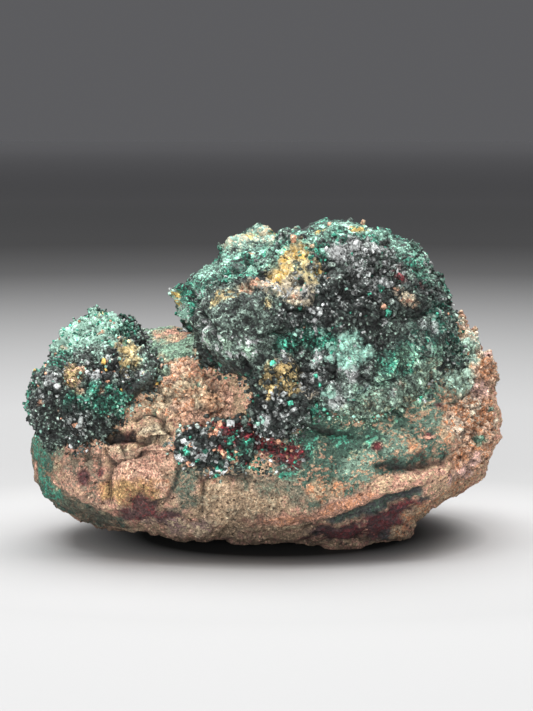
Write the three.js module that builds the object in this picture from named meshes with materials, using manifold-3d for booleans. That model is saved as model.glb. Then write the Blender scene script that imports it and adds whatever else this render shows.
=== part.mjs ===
// Atacamite specimen, in millimetres, +Z up, -Y the face that is shown.
//
// A palm-sized lump of iron-stained rock carries three masses of dark green atacamite
// crystals: a large mound over its middle and right, a small mound on its left end, and a
// low patch on the front between them. The rock is one solid. Each mass of crystals grew
// together, so it is one solid too, and sits on the rock's skin. The origin is the middle
// of the underside, on the surface that the specimen stands on.
import * as THREE from "three";
import { ConvexGeometry } from "three/addons/geometries/ConvexGeometry.js";
import { ImprovedNoise } from "three/addons/math/ImprovedNoise.js";
import { mergeVertices } from "three/addons/utils/BufferGeometryUtils.js";
import Module from "manifold-3d";

const wasm = await Module();
wasm.setup();

// Driving dimensions.
const SEAT_GAP = 0.3; // between a crystal mass and the rock that it grew on
const BLEND = 6; // how softly the rock's lobes run into each other
const CRYSTAL_BLEND = 3.5; // and a crystal mass's
const CUT_BLEND = 1.5; // how far a broken edge is rounded
const BED_HEIGHT = 4.2; // of the beds in the rock
const ROCK_LUMPS = 12; // across the rock's lumps
const ROCK_KNOBS = 6; // across the knobs on them

// The search for a form's skin goes inwards along a line.
const SEARCH_FROM = 75; // further from any middle than the skin reaches
const SEARCH_STEP = 0.5;
const SEARCH_HALVINGS = 14;
const SLOPE_STEP = 0.4;

const STONE_CORNERS = 20;
const GOLDEN_ANGLE = Math.PI * (3 - Math.sqrt(5)); // spreads points evenly round a ball
const SAME_PLACE = 1e-4; // corners closer than this are one corner

// --- Forms: a form is a function of a point, negative inside and growing outwards in mm.

const noise = new ImprovedNoise();

// Noise of about -1 to 1, with lumps `size` mm across and finer ones on them.
function rough(p, size, octaves = 3, shift = 0) {
  let sum = 0;
  for (let i = 0, share = 1.08, scale = 1 / size; i < octaves; i++, share /= 2, scale *= 2)
    sum += share * noise.noise(p.x * scale + shift, p.y * scale - shift, p.z * scale + 7.3 * i);
  return sum;
}

// A number from 0 to 1 that looks random, and is the same for the same four numbers.
function jitter(i, j, k, salt) {
  const s = Math.sin(i * 127.1 + j * 311.7 + k * 74.7 + salt * 53.9) * 43758.5453;
  return s - Math.floor(s);
}

// Rounded grains `size` mm across: 1 on a grain's crown, falling to 0 in the seams.
function grains(p, size) {
  const [x, y, z] = [p.x / size, p.y / size, p.z / size];
  let nearest = 4;
  for (let i = Math.floor(x) - 1; i <= Math.floor(x) + 1; i++)
    for (let j = Math.floor(y) - 1; j <= Math.floor(y) + 1; j++)
      for (let k = Math.floor(z) - 1; k <= Math.floor(z) + 1; k++) {
        const dx = i + jitter(i, j, k, 1) - x;
        const dy = j + jitter(i, j, k, 2) - y;
        const dz = k + jitter(i, j, k, 3) - z;
        nearest = Math.min(nearest, dx * dx + dy * dy + dz * dz);
      }
  return Math.max(0, 1 - nearest);
}

// A smooth lump: an ellipsoid of these half sizes, rolled in the XZ plane by `roll` degrees.
function lobe([x, y, z], [rx, ry, rz], roll = 0) {
  const turn = new THREE.Matrix4().makeRotationY(THREE.MathUtils.degToRad(roll));
  const middle = new THREE.Vector3(x, y, z);
  const q = new THREE.Vector3();
  return (p) => {
    q.copy(p).sub(middle).applyMatrix4(turn);
    const near = Math.hypot(q.x / rx, q.y / ry, q.z / rz);
    const slope = Math.hypot(q.x / rx ** 2, q.y / ry ** 2, q.z / rz ** 2);
    return slope < 1e-9 ? -Math.min(rx, ry, rz) : (near * (near - 1)) / slope;
  };
}

// A broken face: all that lies beyond it, on the side that `away` points to, is gone.
function face(point, away) {
  const n = new THREE.Vector3(...away).normalize();
  const offset = n.dot(new THREE.Vector3(...point));
  return (p) => n.dot(p) - offset;
}

// A rod from one point to another, to cut a hollow along.
function rod(from, to, radius) {
  const line = new THREE.Line3(new THREE.Vector3(...from), new THREE.Vector3(...to));
  const q = new THREE.Vector3();
  return (p) => line.closestPointToPoint(p, true, q).distanceTo(p) - radius;
}

// The lesser of two numbers, rounded off where they are within `width` of each other.
function softer(a, b, width) {
  const h = Math.max(width - Math.abs(a - b), 0) / width;
  return Math.min(a, b) - (h * h * width) / 4;
}
const joined = (forms, width) => (p) =>
  forms.map((form) => form(p)).reduce((a, b) => softer(a, b, width));
const kept = (form, cuts) => (p) =>
  -cuts.map((cut) => -cut(p)).reduce((a, b) => softer(a, b, CUT_BLEND), -form(p));
const without = (form, holes) => (p) =>
  -holes.map((hole) => hole(p)).reduce((a, b) => softer(a, b, CUT_BLEND), -form(p));

// --- The rock.

const rockLobes = joined(
  [
    lobe([2, 1, 17.5], [39, 26, 19.5]), // the body
    lobe([-28, -4, 15.5], [15.8, 17, 13.5]), // the left end, under the small mound
    lobe([-14, -11, 13], [19, 13, 12]), // the front, under the ledges
    lobe([-12, -5, 22], [11, 16, 13]), // the slope between the mounds
    lobe([10, 2, 27], [23, 19, 15]), // the hump under the large mound
    lobe([-21, 10, 27.5], [15, 12, 10]), // the saddle behind
    lobe([31.5, 2, 21.5], [12, 18, 14]), // the right end
    lobe([34.8, 5, 33.5], [4.8, 10, 9.5]), // its shoulder
    lobe([17, -9, 7], [12, 9.5, 8.5]), // the knob under it
    lobe([15, -15, 14.5], [19, 10.5, 7.5], 12), // the brow over the undercut
  ],
  BLEND,
);

const rockBroken = kept(rockLobes, [
  face([14, -24.5, 11], [0.25, -0.82, -0.51]), // the undercut below the brow
  face([-18, -17, 3], [-0.1, -0.2, -1]), // the underside of the left front
  face([24.4, -12, 3], [0.37, -0.2, -0.93]), // the underside of the knob
  face([39.6, -4, 9.5], [0.9, -0.15, -0.41]), // the right end's underside
  face([44.4, 0, 25], [1, -0.12, 0.05]), // the broken right end
]);

const rockHollowed = without(rockBroken, [
  rod([20, -27.5, 17.5], [33, -21, 17], 2.2), // the dark hollow over the brow
  rod([-27, -26, 22], [-23.5, -25, 22.2], 1.8), // the pocket under the small mound
  rod([32, -25, 3.8], [33, 2, 2], 4.6), // the notch under the right end
]);

// Beds in the rock weather back one behind another, in low steps.
function bedding(p) {
  const bed = (p.z + 0.12 * p.x + 2 * rough(p, 18, 2)) / BED_HEIGHT;
  const within = bed - Math.floor(bed);
  return Math.min(within / 0.75, (1 - within) / 0.25) - 0.5;
}

function rock(p) {
  const lumps = 1.2 * rough(p, ROCK_LUMPS) + 0.7 * rough(p, ROCK_KNOBS, 2, 9);
  return rockHollowed(p) - lumps - 0.5 * bedding(p);
}

// Blocks that weathering has left standing proud of the rock: near which point, how big,
// rolled by how many degrees, and how deep the block's middle lies under the rock's skin.
const STONES = [
  [[-20.4, -22, 24.1], [8, 8, 3.3], -4, 1.2], // the upper slab
  [[-20.2, -23, 20.6], [8.8, 8, 2.9], -5, 1.3], // the lower slab
  [[-27.2, -20, 19.6], [5.4, 7, 4], 10, 1.4], // the stone at its left
  [[-21.8, -24, 14.8], [13, 10, 8], 6, 2.8], // the large block below the slabs
  [[-33, -18, 15.8], [9.5, 9, 10], 14, 3], // the block below the small mound
  [[-40, -10, 14.6], [7, 12, 9], 20, 4], // the block on the left end
  [[-4, -24, 9.5], [15, 10, 9.5], 4, 3.9], // the block beside the undercut
  [[-12.5, -14, 32.5], [9, 7, 3.6], -6, 1.6], // steps between the mounds, from the top down
  [[-11.5, -18, 29.2], [11, 8, 3.2], 4, 2],
  [[-12.5, -20, 26], [11, 8, 3], -5, 2],
  [[42, -8, 30.3], [10, 12, 9], -12, 2.6], // the right end, from the top down
  [[41, -10, 21], [9.5, 13, 8.5], 8, 4],
  [[38, -10, 13], [11, 12, 7], -24, 4],
  [[24.6, -13, 6.4], [7.5, 10, 6.5], -14, 3.2],
  [[38.4, -2, 37.6], [4.6, 8, 6], 30, 2.4], // the shoulder
  [[40, 14, 20], [9, 11, 12], 10, 3.6], // the back, from the right round to the left
  [[22, 26, 14], [14, 8, 9], -8, 3.2],
  [[2, 27, 22], [13, 9, 6], 5, 3.4],
  [[-18, 24, 16], [12, 9, 10], 12, 3.4],
  [[-36, 12, 17], [9, 10, 11], -14, 3.4],
];

// The rock stands on the worn ends of three stones: where each is, and how big.
const FEET = [
  [[-15.5, 0.5], [9, 8, 6]],
  [[13.5, -12.5], [10, 7, 6]],
  [[8.5, 12], [9, 8, 6]],
];
const FOOT_WORN = 0.7; // off the end of each
const UNDERSIDE = 0.7; // how high the rock's underside is between them

// --- The crystal masses.

const largeLobes = joined(
  [
    lobe([14, 0, 37.5], [20, 21, 20.5]), // the dome
    lobe([-3.5, -12, 40.5], [9.3, 12, 9], 12), // the front lobe, which overhangs the rock
    lobe([-5, 6, 41.5], [10.5, 11, 9.5], -20), // the crown behind it
    lobe([-14.6, 8, 43.4], [2.8, 3.5, 3.6]), // the crown's tip
    lobe([-1.8, 15, 47], [7.6, 8, 9]), // the rear lobe
    lobe([2.5, -19, 27.8], [5.2, 8.5, 8]), // the column below the front lobe
    lobe([25.5, -3, 38], [9, 14.5, 10], 40), // the right flank
    lobe([13, -9, 29.5], [15, 14, 8.5], -6), // the apron
  ],
  CRYSTAL_BLEND,
);

const smallLobes = joined(
  [
    lobe([-31.6, -8, 26.5], [11.8, 15, 10.5]), // the dome
    lobe([-31, 3, 32.5], [9, 9, 8.6]), // its rear top
    lobe([-23.5, -7.5, 29.8], [6.8, 9, 5.2], -10), // the ridge on its right
  ],
  CRYSTAL_BLEND,
);
const smallHollowed = without(smallLobes, [
  lobe([-18.5, -18.5, 25.5], [7.5, 6.5, 5.5]), // the overhang below the ridge
]);

const patchLobes = joined(
  [
    lobe([-11, -22.5, 20.5], [5.8, 4.2, 4]), // the patch's left part
    lobe([-5, -23, 20.8], [4.8, 3.8, 4.2]), // and its right part
  ],
  CRYSTAL_BLEND,
);

// Crystals bunch into lumps, `grainSize` across and `grainHeight` high.
const lumpy = (form, grainSize, grainHeight) => (p) =>
  form(p) - 0.7 * rough(p, 11, 2) - grainHeight * (grains(p, grainSize) - 0.5);

// Each mass's net is drawn in on its form about `middle`, from an ellipsoid `spread`.
const MASSES = [
  {
    name: "large_crystal_mound",
    colour: 0x1d3a32,
    form: lumpy(largeLobes, 6, 1.2),
    middle: [6, -3, 37],
    spread: [25, 25, 22],
    detail: 7,
    crystals: 188,
    crystalWidth: 2.6,
  },
  {
    name: "small_crystal_mound",
    colour: 0x21473c,
    form: lumpy(smallHollowed, 5, 1),
    middle: [-30, -4, 29],
    spread: [16, 15, 13],
    detail: 4,
    crystals: 78,
    crystalWidth: 2.3,
  },
  {
    name: "front_crystal_patch",
    colour: 0x16211f,
    form: lumpy(patchLobes, 3, 0.6),
    middle: [-8, -22, 20.5],
    spread: [9, 5, 5],
    detail: 2,
    crystals: 44,
    crystalWidth: 1.6,
  },
];

// --- Solids: an even net of points is drawn in on a form until each lies on its skin.

// How far from `from`, going `way`, the skin of the form lies, with `grown` mm added to it.
function reach(form, from, way, grown) {
  const p = new THREE.Vector3();
  const height = (r) => form(p.copy(from).addScaledVector(way, r)) - grown;
  let inside = SEARCH_FROM;
  while (inside > 0 && height(inside) > 0) inside -= SEARCH_STEP;
  let outside = inside + SEARCH_STEP;
  for (let i = 0; i < SEARCH_HALVINGS; i++) {
    const middle = (inside + outside) / 2;
    if (height(middle) > 0) outside = middle;
    else inside = middle;
  }
  return inside;
}

// The way out of a form's skin.
function slope(form, p) {
  const along = (x, y, z) => form(p.clone().add(new THREE.Vector3(x, y, z)));
  return new THREE.Vector3(
    along(SLOPE_STEP, 0, 0) - along(-SLOPE_STEP, 0, 0),
    along(0, SLOPE_STEP, 0) - along(0, -SLOPE_STEP, 0),
    along(0, 0, SLOPE_STEP) - along(0, 0, -SLOPE_STEP),
  ).normalize();
}

function solid(geometry) {
  geometry.deleteAttribute("normal");
  geometry.deleteAttribute("uv");
  const merged = mergeVertices(geometry, SAME_PLACE);
  const mesh = new wasm.Mesh({
    numProp: 3,
    vertProperties: merged.getAttribute("position").array,
    triVerts: new Uint32Array(merged.index.array),
  });
  return new wasm.Manifold(mesh);
}

// The net has 20 (detail + 1)^2 triangles, spread over an ellipsoid of the half sizes
// `spread`, so that they come out alike on a long piece.
function skin(form, from, spread, detail, grown = 0) {
  const net = new THREE.IcosahedronGeometry(1, detail);
  const at = net.getAttribute("position");
  const middle = new THREE.Vector3(...from);
  const size = new THREE.Vector3(...spread);
  const way = new THREE.Vector3();
  for (let i = 0; i < at.count; i++) {
    way.fromBufferAttribute(at, i).multiply(size).normalize();
    const r = reach(form, middle, way, grown);
    at.setXYZ(i, ...way.multiplyScalar(r).add(middle).toArray());
  }
  return solid(net);
}

// The way to point `i` of `count` that lie evenly round a ball.
function evenWay(i, count, turned = 0) {
  const up = 1 - (2 * i + 1) / count;
  const level = Math.sqrt(1 - up * up);
  const round = i * GOLDEN_ANGLE + turned;
  return new THREE.Vector3(level * Math.cos(round), level * Math.sin(round), up);
}

// A stone is a convex block, between a box and an egg, with flat chipped faces.
function stone(middle, size, roll, index, grown) {
  const corners = [];
  for (let i = 0; i < STONE_CORNERS; i++) {
    const corner = evenWay(i, STONE_CORNERS, index);
    const furthest = Math.max(Math.abs(corner.x), Math.abs(corner.y), Math.abs(corner.z));
    const out = 0.5 + 0.06 * (jitter(i, index, 0, 7) - 0.5);
    corner.multiplyScalar(out / furthest ** 0.6);
    corners.push(corner.multiply(new THREE.Vector3(...size).addScalar(2 * grown)));
  }
  const geometry = new ConvexGeometry(corners);
  geometry.rotateY(THREE.MathUtils.degToRad(roll)).translate(...middle.toArray());
  return solid(geometry);
}

// A stone that stands proud of the rock's skin.
function proudStone([near, size, roll, deep], index, grown) {
  const middle = new THREE.Vector3(...near);
  for (let i = 0; i < 4; i++) middle.addScaledVector(slope(rock, middle), -rock(middle));
  middle.addScaledVector(slope(rock, middle), -deep);
  return stone(middle, size, roll, index, grown);
}

// --- Crystals: short blades with a roof-shaped end, stuck into the mass that they cover.

const blade = new THREE.Shape([
  new THREE.Vector2(-0.8, -0.6),
  new THREE.Vector2(0.8, -0.6),
  new THREE.Vector2(0, 0.35),
]);
const BLADE_DEPTH = 0.9;

function crystal(at, out, width, length, spin) {
  const geometry = new THREE.ExtrudeGeometry(blade, { depth: BLADE_DEPTH, bevelEnabled: false });
  geometry.translate(0, 0, -BLADE_DEPTH / 2).scale(width, length, width).rotateY(spin);
  const stand = new THREE.Quaternion().setFromUnitVectors(new THREE.Vector3(0, 1, 0), out);
  geometry.applyQuaternion(stand).translate(at.x, at.y, at.z);
  return solid(geometry);
}

// Crystals spread evenly over a mass, each leaning its own way, clear of the rock.
function crystalsOn({ form, middle, crystals, crystalWidth }) {
  const from = new THREE.Vector3(...middle);
  const made = [];
  for (let i = 0; i < crystals; i++) {
    const random = (n) => jitter(i, n, crystals, 11);
    const way = evenWay(i, crystals);
    const at = from.clone().addScaledVector(way, reach(form, from, way, 0));
    if (rock(at) < crystalWidth / 2) continue;
    const lean = new THREE.Vector3(random(1) - 0.5, random(2) - 0.5, random(3) - 0.5);
    const out = slope(form, at).addScaledVector(lean, 1.2).normalize();
    const width = crystalWidth * (0.75 + 0.6 * random(4));
    const length = width * (0.8 + 0.5 * random(5));
    made.push(crystal(at, out, width, length, 2 * Math.PI * random(6)));
  }
  return made;
}

// --- The pieces.

const rockWith = (grown) =>
  wasm.Manifold.union([
    skin(rock, [1, 0, 20], [44, 30, 24], 9, grown),
    ...STONES.map((row, index) => proudStone(row, index, grown)),
  ]);
const rockSeat = rockWith(SEAT_GAP);

const BELOW = 30;
const below = (height) =>
  solid(new THREE.BoxGeometry(120, 90, BELOW).translate(0, 0, height - BELOW / 2));

const feet = FEET.map(([[x, y], size], index) =>
  stone(new THREE.Vector3(x, y, size[2] / 2 - FOOT_WORN), size, 0, index, 0),
);
const rockSolid = wasm.Manifold.union([rockWith(0).subtract(below(UNDERSIDE)), ...feet])
  .subtract(below(0));

// A mass is cut to the rock that it grew on. A crumb that the cut leaves loose isn't kept.
function massSolid(mass) {
  const body = skin(mass.form, mass.middle, mass.spread, mass.detail);
  const cut = wasm.Manifold.union([body, ...crystalsOn(mass)]).subtract(rockSeat);
  return cut.decompose().sort((a, b) => b.volume() - a.volume())[0];
}

function named(name, piece, colour, roughness) {
  const mesh = piece.getMesh();
  const geometry = new THREE.BufferGeometry()
    .setAttribute("position", new THREE.BufferAttribute(mesh.vertProperties, 3))
    .setIndex(new THREE.BufferAttribute(mesh.triVerts, 1));
  geometry.computeVertexNormals();
  const material = new THREE.MeshStandardMaterial({ color: colour, roughness, flatShading: true });
  const made = new THREE.Mesh(geometry, material);
  made.name = name;
  return made;
}

const specimen = new THREE.Group();
specimen.add(named("rock_matrix", rockSolid, 0xb08468, 0.95));
for (const mass of MASSES)
  specimen.add(named(mass.name, massSolid(mass), mass.colour, 0.45));

// The origin is the middle of the underside.
const box = new THREE.Box3().setFromObject(specimen);
specimen.position.set(-(box.min.x + box.max.x) / 2, -(box.min.y + box.max.y) / 2, 0);

export default specimen;
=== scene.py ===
"""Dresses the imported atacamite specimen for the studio: metres, +Z up, -Y the shown face."""

import math

import bmesh
import bpy
import numpy as np
from mathutils import Euler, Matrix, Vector, noise
from mathutils.bvhtree import BVHTree


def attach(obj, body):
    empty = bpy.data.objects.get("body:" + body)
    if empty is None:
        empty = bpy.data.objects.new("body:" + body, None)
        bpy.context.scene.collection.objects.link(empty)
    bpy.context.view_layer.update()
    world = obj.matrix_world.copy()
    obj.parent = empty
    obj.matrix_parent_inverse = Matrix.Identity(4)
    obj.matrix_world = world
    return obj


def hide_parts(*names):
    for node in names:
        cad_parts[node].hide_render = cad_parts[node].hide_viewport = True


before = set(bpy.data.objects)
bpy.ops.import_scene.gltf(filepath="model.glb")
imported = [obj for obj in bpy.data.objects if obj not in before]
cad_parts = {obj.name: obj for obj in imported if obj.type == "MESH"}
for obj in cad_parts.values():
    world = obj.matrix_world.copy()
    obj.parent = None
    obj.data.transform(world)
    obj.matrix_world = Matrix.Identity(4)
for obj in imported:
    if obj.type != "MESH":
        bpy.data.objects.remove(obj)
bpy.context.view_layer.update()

# --- The rock matrix -------------------------------------------------------------------------
# A lump of iron-stained volcanic rock, broken from the vein and never dressed. Tan and pink
# beds crumble in ledges on the left, and a thin green film covers the front's right half. Its
# colours are painted darker towards the bottom, in the hollows and in the cracks, as painted
# shade. It is one lump, and its skin is dressed in two halves.

MM = 0.001
ROCK_GRAIN = 0.36  # mm between the points of the rock's skin
ROCK_PARTING = 3.0  # mm: the skin's front half is in front of this y
SEED = 7
random = np.random.default_rng(SEED)

TAN = (0.70, 0.49, 0.31)
PALE_TAN = (0.82, 0.66, 0.44)
PINK = (0.72, 0.39, 0.28)
SUNNY = (0.92, 0.60, 0.42)
CHALK = (0.93, 0.76, 0.58)
BLUSH = (0.80, 0.50, 0.44)
ORANGE = (0.74, 0.33, 0.16)
OCHRE_TAN = (0.76, 0.48, 0.20)
BROWN = (0.25, 0.16, 0.10)
GREY_BROWN = (0.34, 0.27, 0.19)
PURPLE = (0.12, 0.05, 0.055)
MAUVE = (0.55, 0.35, 0.32)
DARK_RED = (0.17, 0.022, 0.028)
# slate, laid in the hollow under the ridge, partly as painted shade
SLATE_AND_SHADE = (0.06, 0.07, 0.075)
# nearly black: painted shade in the cracks and dark hollows
SHADE_BLACK = (0.015, 0.013, 0.012)
FILM = (0.078, 0.148, 0.108)
FILM_FLECK = (0.42, 0.26, 0.17)
PALE_FILM = (0.40, 0.58, 0.44)
DEEP_FILM = (0.05, 0.11, 0.08)
SEA_GREEN = (0.28, 0.48, 0.34)
TEAL = (0.07, 0.40, 0.27)
MINT = (0.50, 0.78, 0.64)


def band(radius, *places):
    """A stain's places along a line, each place half a radius from the next or nearer."""
    along = []
    for a, b in zip(np.array(places[:-1]), np.array(places[1:])):
        steps = math.ceil(2 * np.linalg.norm(b - a) / radius)
        along += [(*(a + (b - a) * i / steps), radius) for i in range(steps + 1)]
    return along


# The rock's stains, painted in this order: colour, the flecks in it and their share, how
# much of it covers the rock, and where: x, y, z and radius in mm.
ROCK_STAINS = [
    # the stone's own tan, and its back
    (TAN, PINK, 0.5, 0.9, [(36, -10, 20, 14), (36, 10, 20, 16), (-8, 24, 12, 14)]),
    (GREY_BROWN, FILM, 0.45, 0.8, [(-4, 27, 19, 8), (12, 26, 11, 6), (-32, 15, 20, 7), (36, 14, 26, 6)]),
    (SUNNY, PINK, 0.5, 0.9, [(17, 25, 23, 7), (-20, 24, 15, 8), (33, 15, 14, 7), (-38, 8, 24, 5)]),
    (OCHRE_TAN, ORANGE, 0.4, 0.7, [(3, 27, 26, 5), (-13, 26, 25, 5), (25, 21, 15, 5), (-27, 20, 9, 4)]),
    (PURPLE, DARK_RED, 0.45, 0.85, [(-9, 25, 8, 4), (20, 22, 6, 4), (6, 25, 5, 3), (-34, 12, 9, 3)]),
    (FILM, FILM_FLECK, 0.4, 0.8, [(7, 27, 20, 3.4), (-21, 23, 22, 4), (30, 18, 20, 4), (-27, 19, 27, 4)]),
    # the film on the front's right half and on the left end
    (FILM, FILM_FLECK, 0.3, 1.0, [(8, -25, 18, 7), (13, -25, 17, 9), (12, -24, 23, 9), (20, -23, 20, 10)]),
    (FILM, FILM_FLECK, 0.4, 1.0, [(26, -20, 22, 8.5), (31, -16, 26, 7), (33, -12, 31, 6), (26, 18, 28, 9)]),
    (PALE_FILM, TAN, 0.4, 0.45, [(30, -17, 26, 4), (34, -12, 31, 4), (23, -22, 22, 4), (17, -24, 17, 3.6)]),
    (FILM, BROWN, 0.35, 1.0, [(-41, -13, 16, 5), (-43, -6, 19, 6), (-40, -11, 10, 5), (-36, -14, 8, 4.5)]),
    (FILM, BROWN, 0.45, 0.95, [(-31, -17, 6, 4), (-27, -19, 5, 2.6), (-38, 2, 14, 6)]),
    (TEAL, FILM, 0.5, 0.8, [(-42, -11, 16, 3.4), (-43, -8, 20, 3), (-37, -16, 19, 1.8), (-38, -13, 11, 3)]),
    (BROWN, DEEP_FILM, 0.6, 0.7, [(-35, -16, 7.5, 2.6), (-30, -17, 6, 2.6), (-36, -17, 12, 1.6)]),
    # the ledges, blocks and beds on the left, and darker streaks in the film
    (SUNNY, ORANGE, 0.4, 1.0, [(-17, -17, 31, 6.5), (-12, -20, 29, 5), (-16, -12, 33, 4)]),
    (PINK, SUNNY, 0.5, 0.9, [(-9, -21.5, 28, 3.4), (-12, -21, 26.5, 2.4)]),
    (PALE_TAN, ORANGE, 0.3, 0.9, [(-14, -18, 31, 3), (-19, -17, 28, 3), (-11, -20, 29, 2.5)]),
    (PALE_TAN, GREY_BROWN, 0.35, 1.0, [(-20, -23, 24.3, 3.4), (-20, -24, 20.8, 3.4), (-25, -22, 19, 2.4)]),
    (PINK, SUNNY, 0.5, 1.0, [(-22, -25, 16, 5.5), (-18, -25, 16, 4.5), (-25, -24, 17, 3)]),
    (PINK, GREY_BROWN, 0.5, 1.0, [(-32, -20, 17, 5), (-29, -20, 13, 3.5), (-33, -19, 21, 3)]),
    (ORANGE, TAN, 0.55, 0.7,
     [(-13, -19, 30, 1.5), (-9, -21, 28, 2), (-16, -24, 15, 2), (-20, -25, 14, 1.6)]),
    (OCHRE_TAN, ORANGE, 0.25, 0.9, [(-24, -23, 12.5, 3.2), (-21, -24, 12.5, 2.8), (-28, -22, 12.5, 1.8)]),
    (TAN, PALE_TAN, 0.35, 1.0, [(-5, -24, 9, 7), (-9, -24, 11, 4), (4, -22, 7, 4), (0, -24, 11, 3)]),
    (GREY_BROWN, FILM, 0.4, 0.75,
     [(0, -24, 14, 2.6), (2, -24, 17, 3), (-4, -24, 15, 2.4), (6, -24, 12, 2)]),
    (GREY_BROWN, FILM, 0.6, 0.9,
     [(-14, -24, 15, 3), (-13.5, -24, 11.5, 2.2), (-16, -23, 9, 1.6), (-12, -24, 17, 2)]),
    # partly painted shade: the dark hollow under the ledge in the film
    (DEEP_FILM, SHADE_BLACK, 0.4, 0.9, [(27, -21, 17, 2.4), (23, -23, 17.5, 1.6), (31, -18, 18, 1.4)]),
    (DEEP_FILM, TEAL, 0.35, 0.9,
     [(7, -24, 21, 2.8), (14, -24, 23, 3.2), (19, -23, 23, 2.6), (4, -25, 18, 2)]),
    (DEEP_FILM, TEAL, 0.35, 0.85,
     [(8, -24, 25, 3), (13, -24, 26, 3), (24, -20, 26, 2.6), (29, -16, 29, 2.4)]),
    (TAN, ORANGE, 0.5, 0.8,
     [(9, -25, 13.5, 1.8), (12, -25, 13.5, 1.8), (26, -21, 21, 1.2), (32, -17, 22, 2)]),
    # dark stains low down and by the front patch, and the long ridge with its hollow, whose dark is partly
    # painted shade
    (PURPLE, DARK_RED, 0.4, 0.95,
     [(-21.5, -22, 9, 3.2), (-24.5, -21.5, 8.4, 2), (-17, -22, 7.4, 2.4), (-32, -21, 15, 1.3)]),
    (DARK_RED, PURPLE, 0.4, 0.9, [(-29, -21, 15.5, 1), (2.5, -24.5, 19.5, 1.8), (-24.5, -20, 22, 1.3)]),
    (DARK_RED, PURPLE, 0.4, 0.95,
     [(0.5, -25, 21, 2.4), (-3, -25, 24, 1.8), (4.5, -25, 19.5, 2.2), (-1, -24, 25, 1.4)]),
    (MAUVE, PALE_TAN, 0.4, 0.8, [(-16, -22, 5, 2.6), (-11, -22, 5, 2.4), (-21, -22, 5.5, 2)]),
    # partly painted shade: the purple and slate low down under the ridge
    (PURPLE, DARK_RED, 0.5, 1.0, band(4.2, (11, -19.5, 2), (18, -19.5, 4), (24, -18.5, 7))),
    (SLATE_AND_SHADE, DEEP_FILM, 0.45, 0.95,
     band(1.3, (9, -23, 5.2), (14, -22.5, 7), (20, -21.5, 9.4), (27, -20, 12.2))),
    (SLATE_AND_SHADE, PURPLE, 0.4, 0.9,
     [(15, -17, 2.5, 1.6), (22, -17, 3, 1.6), (10, -18, 2.5, 1.6), (28, -18, 11, 1.4)]),
    (PINK, BROWN, 0.3, 1.0,
     band(1.9, (-8, -22, 4.4), (2, -23, 6.6), (11.3, -24.3, 9.6), (21.8, -23.2, 13.4))),
    (ORANGE, PINK, 0.5, 0.7, band(1, (-4, -22, 5.4), (6, -23, 8.2), (16, -24, 11.6), (24, -23, 14.4))),
    (PINK, TAN, 0.5, 1.0, band(1.9, (20, -23, 14), (27, -21.5, 15.2), (34, -17, 15.5))),
    # the right end, the top between the mounds, and single spots
    (MAUVE, ORANGE, 0.4, 0.9, [(33, -16, 14, 2), (36, -13, 14, 2), (30, -19, 15, 1.2)]),
    (TAN, ORANGE, 0.45, 0.95, [(27, -15, 7, 3), (24, -16, 4, 1.8), (36, -8, 10, 4), (33, -13, 12, 3.5)]),
    (TAN, ORANGE, 0.5, 0.9, [(19, -18, 1.8, 0.9), (16, -19, 1.6, 0.7)]),
    (SUNNY, ORANGE, 0.5, 1.0, [(38, -13, 23, 6), (40, -12, 18, 4), (36, -15, 18, 3.6), (38, -10, 33, 5)]),
    (CHALK, ORANGE, 0.4, 0.9, [(38, -13, 26, 3), (41, -9, 22, 2.4), (34, -16, 23, 2), (39, -5, 33, 4)]),
    (BLUSH, SUNNY, 0.4, 0.85, [(39, -10, 29, 2.2), (37, -14, 16.5, 2), (40, -4, 32, 3), (35, -14, 15, 2)]),
    (SEA_GREEN, FILM, 0.35, 0.95,
     [(-22, 0, 35, 5), (-16, -2, 36, 5), (-16, -7, 35.5, 3.4), (-22, 10, 37, 5)]),
    (SEA_GREEN, FILM, 0.5, 0.85, [(-20, 18, 34, 6), (-19, -12, 33.5, 2), (37, 5, 41, 2.4)]),
    (CHALK, MINT, 0.4, 0.95, [(38, 3, 40, 3), (39, -2, 37, 2.6), (41, 2, 37, 3), (37, 6, 41, 2)]),
    (MINT, PALE_FILM, 0.4, 0.9,
     [(36, -8, 34, 2.8), (35, -11, 31, 2.6), (37, -5, 36, 2.2), (34, -9, 37, 2)]),
    (TEAL, MINT, 0.4, 0.85,
     [(-12, -18, 31.5, 0.9), (42, -6, 24, 1.2), (39, -13.5, 20, 1), (-13, -19, 29.5, 0.7)]),
    (DEEP_FILM, TEAL, 0.4, 0.9, [(-20, -19, 26.5, 0.8), (-18, -20.5, 26, 0.7), (-22, -19, 25.5, 0.9)]),
    (DARK_RED, PINK, 0.3, 0.9,
     [(19.6, -23, 21, 1), (18, -18, 4, 1.1), (29, -19, 22, 0.9), (31, -15, 27, 1)]),
    # painted shade: the dark hollow at the deep crack among the beds
    (SHADE_BLACK, BROWN, 0.3, 0.9, [(-26.5, -19.5, 22, 1.4), (-24, -20.5, 22.4, 1.1), (-28.5, -19, 22.4, 1)]),
]
# Where the rock crumbles, where it lies in beds and blocks, where the film's streaks rise to
# the right, and where the left end's streaks fall: x, y, z and radius in mm.
CRUMBLY = [
    (-14, -19, 30, 7), (-9, -21, 28, 4), (-16, -12, 34, 5), (38, -12, 21, 8), (38, -8, 31, 7),
    (34, 4, 38, 9), (17, 25, 23, 8), (-18, 24, 20, 9), (34, 14, 16, 7), (0, 26, 10, 7),
]
BEDDED = [
    (-20, -23, 22, 5), (-33, -20, 17, 5), (-22, -25, 15, 6), (-5, -24, 9, 8), (-34, -19, 21, 3),
    (2, 27, 22, 9), (-32, 15, 14, 9), (22, 22, 9, 7),
]
FILMED = [
    (10, -25, 19, 9), (20, -23, 20, 9), (28, -18, 24, 8), (12, -20, 7, 8), (20, -21, 13, 6),
    (27, -20, 14, 6),
]
STREAKED_LEFT = [(-40, -12, 12, 9), (-30, -17, 8, 7), (-18, -22, 7, 6), (-10, -22, 5, 5)]

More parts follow.
